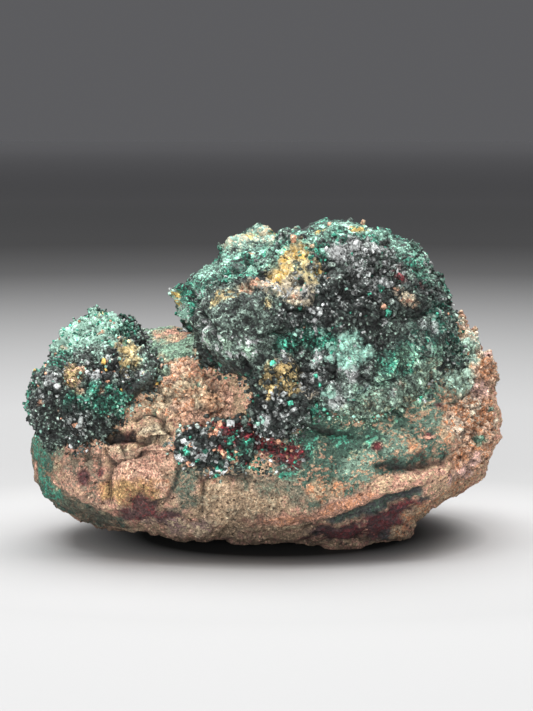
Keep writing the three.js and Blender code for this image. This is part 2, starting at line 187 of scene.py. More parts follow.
# Cracks between the beds and round the blocks: x and z of their points on the front in mm,
# then depth and half width.
CRACKS = [
    ([(-24.4, 21.9), (-22, 21.4), (-20.6, 21.7), (-17.4, 22.2), (-16.3, 23)], 1.4, 0.34),
    ([(-27.2, 17.6), (-25.5, 18.8), (-23.6, 19.3), (-19.9, 19.7), (-15.8, 19.6)], 1.4, 0.36),
    ([(-23.1, 25), (-21.4, 25.9), (-20, 25.6), (-18.2, 24.8), (-17, 23.8), (-16.4, 22.6)], 1.2, 0.34),
    ([(-28.3, 20.2), (-28, 18.6), (-27.4, 17.4), (-27.9, 15.5), (-28.1, 13), (-27.6, 11)], 1.2, 0.34),
    ([(-29.6, 18.8), (-29.4, 17.6), (-29.5, 16.4)], 0.8, 0.25),
    ([(-24.9, 20.6), (-24.4, 19.4), (-24.8, 18.6)], 0.8, 0.25),
    ([(-11.2, 15.6), (-10.6, 14.4), (-10.8, 12.2)], 1.2, 0.4),
    ([(-10.8, 12.2), (-11.2, 10.4), (-10.8, 8.6)], 0.6, 0.25),
    ([(-27.6, 21.8), (-26.4, 22.1), (-24.6, 22)], 2.0, 0.8),
    ([(-16, 19), (-15, 17), (-15.6, 14), (-17, 11.6), (-20, 10.4)], 0.7, 0.4),
    ([(-10.4, 15.6), (-8.4, 16), (-6.4, 15.2), (-3, 14.8)], 0.9, 0.5),
    ([(-10.6, 31), (-9.2, 30.6), (-8, 30)], 1.2, 0.4),
    ([(-16.4, 29.2), (-15, 28.7), (-13.8, 28.6)], 1.0, 0.3),
    ([(-20.4, 29.8), (-18, 28.9), (-16.4, 29.2)], 0.7, 0.3),
    ([(-12.4, 27.2), (-10.4, 27.8), (-8.2, 27.4)], 0.9, 0.35),
    ([(-33, 21.4), (-31.6, 20), (-31.9, 18.4)], 0.9, 0.3),
    ([(20, 17.6), (23.6, 17.3), (27, 16.8), (31.5, 16.9)], 0.9, 0.7),
    ([(4, 25.4), (8, 24.3), (12, 23.8)], 0.8, 0.5),
    ([(34.6, 27.6), (37, 28.6), (39.6, 28.2)], 0.8, 0.35),
]
# The long ridge low on the front's right, and the hollow under it, in the same way.
BROW = [(-4, 5.4), (2, 6.8), (6, 8.2), (11.3, 9.8), (16.5, 11.8), (21.8, 13.8), (27, 15.2), (32, 15.4)]
UNDER_BROW = [(8, 5.2), (11, 6.8), (14, 7.9), (18.4, 9.6), (22.8, 11.4), (28, 12.8)]


WELD_GAP = 0.01  # mm


def fine_copy(node, name, grain, smoothing):
    """A new mesh of the node's form, with evenly spaced points and its facets smoothed away."""
    model = bpy.data.objects.new(name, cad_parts[node].data.copy())
    bpy.context.scene.collection.objects.link(model)
    weld = model.modifiers.new("weld", "WELD")
    weld.merge_threshold = WELD_GAP * MM
    net = model.modifiers.new("net", "REMESH")
    net.mode = "VOXEL"
    net.voxel_size = grain * MM
    net.use_smooth_shade = True
    smooth = model.modifiers.new("smooth", "SMOOTH")
    smooth.iterations = smoothing
    smooth.factor = 0.5
    made = bpy.data.meshes.new_from_object(
        model.evaluated_get(bpy.context.evaluated_depsgraph_get())
    )
    bpy.data.objects.remove(model)
    made.materials.clear()
    made.name = name
    return made


def skin_of(mesh):
    """Every point of the mesh and its normal, in millimetres."""
    points = np.empty(3 * len(mesh.vertices))
    normals = points.copy()
    mesh.vertices.foreach_get("co", points)
    mesh.vertices.foreach_get("normal", normals)
    return points.reshape(-1, 3) / MM, normals.reshape(-1, 3)


def reshape(mesh, points):
    """Moves the mesh's points to these places, in millimetres."""
    mesh.vertices.foreach_set("co", (points * MM).ravel())
    mesh.update()


ASLANT = np.array(Euler((0.6, 0.9, 0.4)).to_matrix())  # keeps the noise off the axes


def lumps(points, size, octaves=4, shift=0.0):
    """Noise of about -1 to 1 at each point, with lumps `size` mm across and finer ones on them."""
    places = points @ ASLANT / size + (shift, 2 * shift, -shift)
    return np.array([noise.fractal(Vector(p), 0.9, 2.1, octaves) for p in places])


def wander(points, size, reach):
    """The points moved about by up to `reach`, so that what follows them isn't straight."""
    return points + reach * np.column_stack([lumps(points, size, 2, shift) for shift in (1, 3, 6)])


SEAM = 0.3  # mm that a seam between faces reaches to each side
SCRAMBLE = np.array([[12.9, 39.3, 73.2], [78.2, 11.1, 52.2], [37.7, 83.2, 9.2]])
SCATTER = 4375.85  # with SCRAMBLE, turns a face's middle into three chance numbers of its own


def faceted(points, size, step, tilt, squash=1.0, shift=0.0):
    """A skin broken into faces `size` mm across, each standing in or out by up to half a `step`
    and leaning by `tilt`, and for each point 1 in the seams between the faces and 0 off them."""
    scaled = points * np.array([1, 1, squash]) @ ASLANT / size + (shift, -shift, 2 * shift)
    found = [noise.voronoi(Vector(p)) for p in scaled]
    middle = np.array([tuple(places[0]) for _, places in found])
    gap = np.array([far[1] - far[0] for far, _ in found])
    own = np.sin(middle @ SCRAMBLE) * SCATTER
    own -= np.floor(own)
    lean = 2 * tilt * size * ((own - 0.5) * (scaled - middle)).sum(axis=1)
    return step * (own[:, 0] - 0.5) + lean, np.exp(-((gap * size / SEAM) ** 2))


CRACK_LEVEL = 0.12  # the cracks follow the noise's contour at this height


def crack_net(points, size, width, shift):
    """1 in the middle of wandering cracks about `size` mm apart, falling to 0 beside them."""
    return np.exp(-(((lumps(points, size, 3, shift) - CRACK_LEVEL) / width) ** 2))


def streaks(points, heading, length, width):
    """Noise drawn out along a heading, in degrees above +X as the front is seen."""
    turn = math.radians(heading)
    along = points[:, 0] * math.cos(turn) + points[:, 2] * math.sin(turn)
    across = points[:, 2] * math.cos(turn) - points[:, 0] * math.sin(turn)
    return lumps(np.column_stack([along / length, points[:, 1] / (3 * width), across / width]), 1.0, 3)


def spread(points, places, ragged, edge=0.25):
    """How much of a stain covers each point: 1 well inside its places, 0 outside, ragged between."""
    cover = np.zeros(len(points))
    for x, y, z, radius in places:
        far = np.linalg.norm(points - (x, y, z), axis=1) / radius
        cover = np.maximum(cover, 1 - np.clip((far + ragged - 1 + edge) / (2 * edge), 0, 1))
    return cover


FRONT = -8.0  # mm: the drawn cracks and ledges are in front of this y


def line_depth(points, line, half_width):
    """On the front, 1 in the middle of a line of x and z, falling to 0 beside it."""
    depth = np.zeros(len(points))
    flat = points[:, ::2]
    for a, b in zip(np.array(line[:-1]), np.array(line[1:])):
        along = np.clip((flat - a) @ (b - a) / ((b - a) @ (b - a)), 0, 1)
        far = np.linalg.norm(flat - a - along[:, None] * (b - a), axis=1)
        depth = np.maximum(depth, np.exp(-((far / half_width) ** 2)))
    return depth * (points[:, 1] < FRONT)


def stained(points, ground, stains):
    """The colour of each point, the colour of the flecks in it, and their share."""
    main, fleck, share = (
        np.tile(np.atleast_1d(value).astype(float), (len(points), 1)) for value in ground
    )
    ragged = 0.35 * lumps(points, 5, 3, 2.0) + 0.4 * lumps(points, 1.4, 3, 5.0)
    for colour, fleck_colour, fleck_share, most, places in stains:
        cover = most * spread(points, places, ragged)[:, None]
        main += cover * (np.array(colour) - main)
        fleck += cover * (np.array(fleck_colour) - fleck)
        share += cover * (fleck_share - share)
    share = share[:, 0] + 0.3 * lumps(points, 2.4, 3, 8.0)
    return main, fleck, np.clip(share, 0, 1)


def painted(mesh, main, fleck, share):
    """Keeps each point's colour, with its flecks' share as alpha, and the flecks' colour."""
    for name, colours in (("paint", main), ("fleck", fleck)):
        kept = mesh.attributes.new(name, "FLOAT_COLOR", "POINT")
        rgba = np.column_stack([np.clip(colours, 0.001, 0.95), share])
        kept.data.foreach_set("color", rgba.ravel())


def piece_of(mesh, node=None):
    """Sets a mesh in the scene as a piece of the specimen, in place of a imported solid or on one."""
    piece = bpy.data.objects.new(mesh.name, mesh)
    bpy.context.scene.collection.objects.link(piece)
    if node:
        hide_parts(node)
    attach(piece, "root")


def halved(mesh, name, front):
    """The part of a mesh in front of the parting, or behind it, shaded as the whole is."""
    half = bmesh.new()
    half.from_mesh(mesh)
    other = [f for f in half.faces if (f.calc_center_median().y < ROCK_PARTING * MM) != front]
    bmesh.ops.delete(half, geom=other, context="FACES")
    made = mesh.copy()
    made.name = name
    half.to_mesh(made)
    half.free()
    normals = np.empty(3 * len(made.vertices))
    made.attributes["whole_normal"].data.foreach_get("vector", normals)
    made.normals_split_custom_set_from_vertices(normals.reshape(-1, 3).tolist())
    return made


def add_node(tree, kind, settings=(), **inputs):
    """A shader node: settings are its own, and inputs are sockets to link from or plain values."""
    made = tree.nodes.new("ShaderNode" + kind)
    for key, value in dict(settings).items():
        setattr(made, key, value)
    for key, value in inputs.items():
        socket = made.inputs[int(key[1:]) if key[0] == "_" else key.replace("_", " ")]
        if isinstance(value, bpy.types.NodeSocket):
            tree.links.new(value, socket)
        else:
            socket.default_value = value
    return made


def maths(tree, operation, first, second):
    """One step with plain values."""
    return add_node(tree, "Math", {"operation": operation}, _0=first, _1=second).outputs[0]


def ramp(tree, value, low, high, to_low=0.0, to_high=1.0):
    """A value from `low` to `high` turned into one from `to_low` to `to_high`, and held there."""
    made = add_node(
        tree, "MapRange", Value=value, From_Min=low, From_Max=high, To_Min=to_low, To_Max=to_high
    )
    return made.outputs["Result"]


def blend(tree, kind, share, first, second):
    """The first colour with as much of the second blended into it as the share."""
    made = add_node(tree, "MixRGB", {"blend_type": kind}, Fac=share, Color1=first, Color2=second)
    return made.outputs["Color"]


def toned(tree, colour, *tones):
    """The colour made darker or paler by each tone in turn."""
    for tone in tones:
        colour = blend(tree, "MULTIPLY", 1.0, colour, tone)
    return colour


def shader_noise(tree, size, detail=4.0, roughness=0.6):
    """Noise in the piece's own space, with grains this many millimetres across."""
    place = add_node(tree, "TexCoord").outputs["Object"]
    made = add_node(
        tree, "TexNoise", Vector=place, Scale=1 / (size * MM), Detail=detail, Roughness=roughness
    )
    return made.outputs["Fac"]


def vector_maths(tree, operation, first, **second):
    """One step with vectors: its second input is `_1`, or `Scale` where the step scales."""
    return add_node(tree, "VectorMath", {"operation": operation}, _0=first, **second).outputs


GRAIN_ASLANT = (0.3, 0.7, 0.2)  # keeps the drawn grains off the axes


def shader_grains(tree, size, tilt, normal, stretch=1.0):
    """Flat-faced grains this many millimetres across: three random numbers for each grain, the
    distance to its edge, and its face's normal, leaning by up to `tilt` from the one given."""
    place = add_node(tree, "TexCoord").outputs["Object"]
    aslant = add_node(
        tree,
        "Mapping",
        {"vector_type": "TEXTURE"},
        Vector=place,
        Rotation=GRAIN_ASLANT,
        Scale=(stretch, 1.0, 1.0),
    )
    place = aslant.outputs["Vector"]
    scale = 1 / (size * MM)
    bend = add_node(tree, "TexNoise", Vector=place, Scale=scale, Detail=2.0).outputs["Color"]
    bend = vector_maths(tree, "SCALE", bend, Scale=0.5 * size * MM)[0]
    moved = vector_maths(tree, "ADD", place, _1=bend)[0]
    cells = add_node(tree, "TexVoronoi", Vector=moved, Scale=scale).outputs["Color"]
    edge = add_node(tree, "TexVoronoi", {"feature": "DISTANCE_TO_EDGE"}, Vector=moved, Scale=scale)
    own = add_node(tree, "SeparateColor", Color=cells).outputs
    lean = vector_maths(tree, "SUBTRACT", cells, _1=(0.5, 0.5, 0.5))[0]
    lean = vector_maths(tree, "SCALE", lean, Scale=2 * tilt)[0]
    face = vector_maths(tree, "ADD", normal, _1=lean)[0]
    return own, edge.outputs["Distance"], vector_maths(tree, "NORMALIZE", face)[0]


def flecked(tree, size, chance):
    """The painted colour, or its flecks' for as many of the grains as their share."""
    paint = add_node(tree, "Attribute", {"attribute_name": "paint"}).outputs
    fleck = add_node(tree, "Attribute", {"attribute_name": "fleck"}).outputs
    patchy = ramp(tree, shader_noise(tree, 3 * size, 3.0), 0.3, 0.7)
    patchy = maths(tree, "MULTIPLY", patchy, 0.55)
    chance = maths(tree, "ADD", maths(tree, "MULTIPLY", chance, 0.45), patchy)
    taken = ramp(tree, maths(tree, "SUBTRACT", paint["Alpha"], chance), -0.04, 0.04)
    return blend(tree, "MIX", taken, paint["Color"], fleck["Color"])


def new_material(name):
    """A material, its node tree and its surface."""
    material = bpy.data.materials.new(name)
    material.use_nodes = True
    return material, material.node_tree, material.node_tree.nodes["Principled BSDF"]


STONE_LUMP, STONE_GRAIN, STONE_PIT = 0.9, 0.34, 0.8  # mm across
PIT_SHADE = (0.22, 0.17, 0.15, 1)


def stone_finish(name):
    """Dry crumbling rock: stained grains, with paler ones among them, and painted shade in the pits between
    them and in the seams between the lumps.
    """
    material, tree, surface = new_material(name)
    skin = add_node(tree, "NewGeometry").outputs["Normal"]
    coarse, coarse_edge, skin = shader_grains(tree, STONE_LUMP, 0.22, skin)
    own, _, skin = shader_grains(tree, STONE_GRAIN, 0.4, skin)
    speckle = shader_noise(tree, 0.3, 4.0, 0.7)
    base = toned(
        tree,
        flecked(tree, STONE_GRAIN, own["Red"]),
        ramp(tree, speckle, 0.36, 0.64, 0.45, 1.5),
        ramp(tree, own["Green"], 0.0, 1.0, 0.6, 1.4),
        ramp(tree, coarse["Green"], 0.0, 1.0, 0.9, 1.1),
        # painted shade in the seams between the lumps
        ramp(tree, coarse_edge, 0.0, 0.06, 0.6, 1.0),
    )
    # painted shade in the pits
    pit = ramp(tree, shader_noise(tree, STONE_PIT, 4.0), 0.40, 0.33)
    base = blend(tree, "MULTIPLY", pit, base, PIT_SHADE)
    base = toned(tree, base, ramp(tree, own["Blue"], 0.93, 0.95, 1.0, 1.6))
    tree.links.new(base, surface.inputs["Base Color"])
    surface.inputs["Roughness"].default_value = 0.75
    height = maths(tree, "SUBTRACT", speckle, pit)
    bump = add_node(tree, "Bump", Strength=0.8, Distance=0.3 * MM, Height=height, Normal=skin)
    tree.links.new(bump.outputs["Normal"], surface.inputs["Normal"])
    return material


rock = fine_copy("rock_matrix", "rock", ROCK_GRAIN, smoothing=4)
points, normals = skin_of(rock)
broad = lumps(points, 7)
ragged = lumps(points, 2.2, 4, 5.0)
crumbly = spread(points, CRUMBLY, 0.4 * broad)
bedded = spread(points, BEDDED, 0.3 * broad)
filmed = spread(points, FILMED, 0.3 * broad)
left_streaked = spread(points, STREAKED_LEFT, 0.3 * broad)
streaked = np.maximum(filmed, left_streaked)
rising, falling = (streaks(points, heading, 2.6, 0.45) for heading in (22, -36))
streak = np.where(filmed > left_streaked, rising, falling)

warped = wander(points, 4, 0.9)
blocks, block_seams = faceted(warped, 5.5, 0.8, 0.14, 1.4)
lesser, lesser_seams = faceted(warped, 2.3, 0.8, 0.26, 1.6, 4.0)
crumbs, _ = faceted(wander(points, 1.5, 0.3), 1.05, 0.5, 0.3, 1.3, 9.0)
net = np.maximum(crack_net(points, 3.2, 0.11, 6.0), 0.8 * crack_net(points, 1.7, 0.12, 7.0))
net *= np.clip(0.15 + crumbly + 0.35 * bedded - 0.2 * filmed, 0, 1)
rough = np.clip(0.3 + 0.6 * crumbly - 0.15 * bedded - 0.1 * filmed, 0, 1)
# How far each point stands out, in mm: lumps, blocks, crumbs and streaks, less the cracks.
relief = 0.45 * broad + 0.3 * ragged * (1 - 0.5 * bedded) + 0.5 * blocks
relief += lesser * rough + crumbs * (0.2 + 0.4 * rough) + 0.35 * crumbly * lumps(points, 1.3, 3, 9.0)
relief -= 0.3 * crumbly * lesser_seams + 0.25 * block_seams * bedded + 0.8 * net
relief += 0.2 * streak * streaked
brow = line_depth(points + 0.5 * (warped - points), BROW, 1.5)
under = line_depth(points + 0.5 * (warped - points), UNDER_BROW, 1.3) * (1 - brow)
relief += 0.7 * brow - 1.0 * under
relief -= relief.mean() + 0.25
# how much painted shade darkens each point in the seams and cracks
painted_crack_shade = np.clip(0.2 * crumbly * lesser_seams + 0.3 * bedded * block_seams + 0.9 * net, 0, 0.9)
for line, depth, half_width in CRACKS:
    opened = line_depth(points + 0.4 * (warped - points), line, half_width)
    relief -= depth * opened
    painted_crack_shade = np.maximum(painted_crack_shade, opened)
DEEPEST, HIGHEST = -3.0, 1.3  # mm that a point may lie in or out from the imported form
FOOT_FLAT = 0.2  # mm: up to this z the rock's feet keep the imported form
FOOT_BLEND = 1.5  # mm of height over which the relief then grows in
standing = np.clip((points[:, 2] - FOOT_FLAT) / FOOT_BLEND, 0, 1)
reshape(rock, points + normals * (np.clip(relief, DEEPEST, HIGHEST) * standing)[:, None])

# The stains, with painted shade in the hollows, low down and in the cracks.
ROCK_GROUND = (TAN, PINK, 0.45)  # the colour, the flecks and their share where no stain is
main, fleck, share = stained(points, ROCK_GROUND, ROCK_STAINS)
share = np.clip(share + 0.5 * streak * streaked, 0, 1)
# painted shade: darker in the relief's hollows, lighter on its raised parts; the streaks are the rock's own
shade = 1.0 + 0.2 * np.clip(relief, -1.2, 0.5) + 0.35 * streak * streaked
shade *= np.clip(0.05 + points[:, 2] / 16.5, 0.2, 1)  # painted shade, darker towards the bottom
shade *= 1 + 0.4 * crumbly * np.clip(lumps(points, 0.9, 3, 11.0), -1, 1)
main *= shade[:, None]
fleck *= shade[:, None]
# painted shade: the seams and cracks painted nearly black
main += painted_crack_shade[:, None] * (np.array(SHADE_BLACK) - main) * 0.85
fleck += painted_crack_shade[:, None] * (np.array(SHADE_BLACK) - fleck) * 0.85
painted(rock, main, fleck, share)
rock_skin = stone_finish("crumbling_rock")
rock.materials.append(rock_skin)
whole = rock.attributes.new("whole_normal", "FLOAT_VECTOR", "POINT")
whole.data.foreach_set("vector", skin_of(rock)[1].ravel())
piece_of(halved(rock, "rock_front", True), "rock_matrix")
piece_of(halved(rock, "rock_back", False), "rock_matrix")

# A crumb or crystal before it is sized: its corners, and its twelve triangles.
BLOCK = np.array(
    [(-1, -1, -1), (1, -1, -1), (1, 1, -1), (-1, 1, -1), (-1, -1, 1), (1, -1, 1), (1, 1, 1), (-1, 1, 1)]
)
BLOCK_FACES = np.array(
    [
        (0, 2, 1), (0, 3, 2), (4, 5, 6), (4, 6, 7), (0, 1, 5), (0, 5, 4),
        (1, 2, 6), (1, 6, 5), (2, 3, 7), (2, 7, 6), (3, 0, 4), (3, 4, 7),
    ]
)
NEIGHBOURS = [(a, b, c) for a in (-1, 0, 1) for b in (-1, 0, 1) for c in (-1, 0, 1)]


def sites_on(points, spacing, allowed):
    """Points of a skin at least `spacing` mm apart, in a random order."""
    order = random.permutation(np.flatnonzero(allowed))
    taken, kept = {}, []
    for i in order:
        x, y, z = points[i]
        a, b, c = int(x // spacing), int(y // spacing), int(z // spacing)
        near = (taken.get((a + da, b + db, c + dc)) for da, db, dc in NEIGHBOURS)
        if any(p and (p[0] - x) ** 2 + (p[1] - y) ** 2 + (p[2] - z) ** 2 < spacing**2 for p in near):
            continue
        taken[a, b, c] = (x, y, z)
        kept.append(i)
    return np.array(kept)


def leaning(normals, lean, towards=(0, 0, 0)):
    """Each normal, leaning at random by `lean` and drawn towards a direction."""
    out = normals + lean * random.normal(size=normals.shape) + np.array(towards)
    return out / np.linalg.norm(out, axis=1)[:, None]


CHIPPED = (0.75, 1.1)  # how far out a block's corners are, of its half size


def chips(name, points, out, sizes, colours, slot, material, rise=0.0, taper=(0.6, 1.0), foot_shade=0.6):
    """One joined piece: at each point a tapering block with chipped corners, its sizes in mm,
    with painted shade on its four lowest corners, as in the gaps between the blocks."""
    count = len(points)
    side = np.cross(out, random.normal(size=(count, 3)))
    side /= np.linalg.norm(side, axis=1)[:, None]
    across = np.cross(out, side)
    corners = BLOCK[None] * random.uniform(*CHIPPED, (count, 8, 3))
    corners[:, 4:, :2] *= random.uniform(*taper, (count, 1, 2))
    corners *= 0.5 * sizes[:, None, :]
    corners[:, :, 2] += rise * 0.5 * sizes[:, None, 2]
    placed = (
        points[:, None]
        + corners[:, :, :1] * side[:, None]
        + corners[:, :, 1:2] * across[:, None]
        + corners[:, :, 2:] * out[:, None]
    )
    mesh = bpy.data.meshes.new(name)
    mesh.vertices.add(8 * count)
    mesh.vertices.foreach_set("co", (placed * MM).ravel())
    faces = (BLOCK_FACES[None] + 8 * np.arange(count)[:, None, None]).reshape(-1, 3)
    mesh.loops.add(faces.size)
    mesh.loops.foreach_set("vertex_index", faces.ravel())
    mesh.polygons.add(len(faces))
    mesh.polygons.foreach_set("loop_start", 3 * np.arange(len(faces)))
    mesh.update()
    mesh.validate()
    main, fleck, share = (np.repeat(value, 8, axis=0) for value in colours)
    # painted shade on the four lowest corners
    shade = np.tile([foot_shade] * 4 + [1.0] * 4, count)[:, None]
    painted(mesh, main * shade, fleck * shade, share)
    mesh.materials.append(material)
    piece_of(mesh)


CRUMB_SPACING = 1.5  # mm
CRUMB_LOWEST = 2.5  # mm above what the rock stands on
points, normals = skin_of(rock)
loose = (crumbly > 0.5 + 0.4 * random.random(len(points))) & (points[:, 2] > CRUMB_LOWEST)
sites = sites_on(points, CRUMB_SPACING, loose)
lengths = 0.4 + 0.9 * random.random(len(sites)) ** 3
sizes = lengths[:, None] * random.uniform(0.7, 1.3, (len(sites), 3))
main, fleck, share = stained(points[sites], ROCK_GROUND, ROCK_STAINS)
tone = random.uniform(0.75, 1.2, (len(sites), 1))
out = leaning(normals[sites], 0.5)
colours = (main * tone, fleck * tone, share)
chips("rock_crumbs", points[sites], out, sizes, colours, "matrix_rock", rock_skin)

# --- The large crystal mound -------------------------------------------------------------------
# Atacamite grew here as a dome of dark green grains under a millimetre, bunched into lumps and
# set fast in the rock. Weathering left pale green, ochre and rusty patches on it. The crust
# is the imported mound's form, and every crystal on it is a faceted solid of its own.

BLACK = (0.045, 0.058, 0.052)
DEEP_TEAL = (0.035, 0.17, 0.12)
GREY_GREEN = (0.24, 0.33, 0.275)
TURQUOISE = (0.50, 0.90, 0.74)
# Grey and silver crystals are painted glints, faces coloured as if catching the lamp; silver is also a few
# white crystals.
GREY_GLINT = (0.40, 0.42, 0.41)
WHITE_AND_GLINT = (0.80, 0.82, 0.81)
GOLD = (0.92, 0.60, 0.17)
PALE_GOLD = (0.94, 0.78, 0.44)
CREAM = (0.94, 0.80, 0.58)
OCHRE = (0.80, 0.60, 0.28)
PEACH = (0.82, 0.42, 0.27)

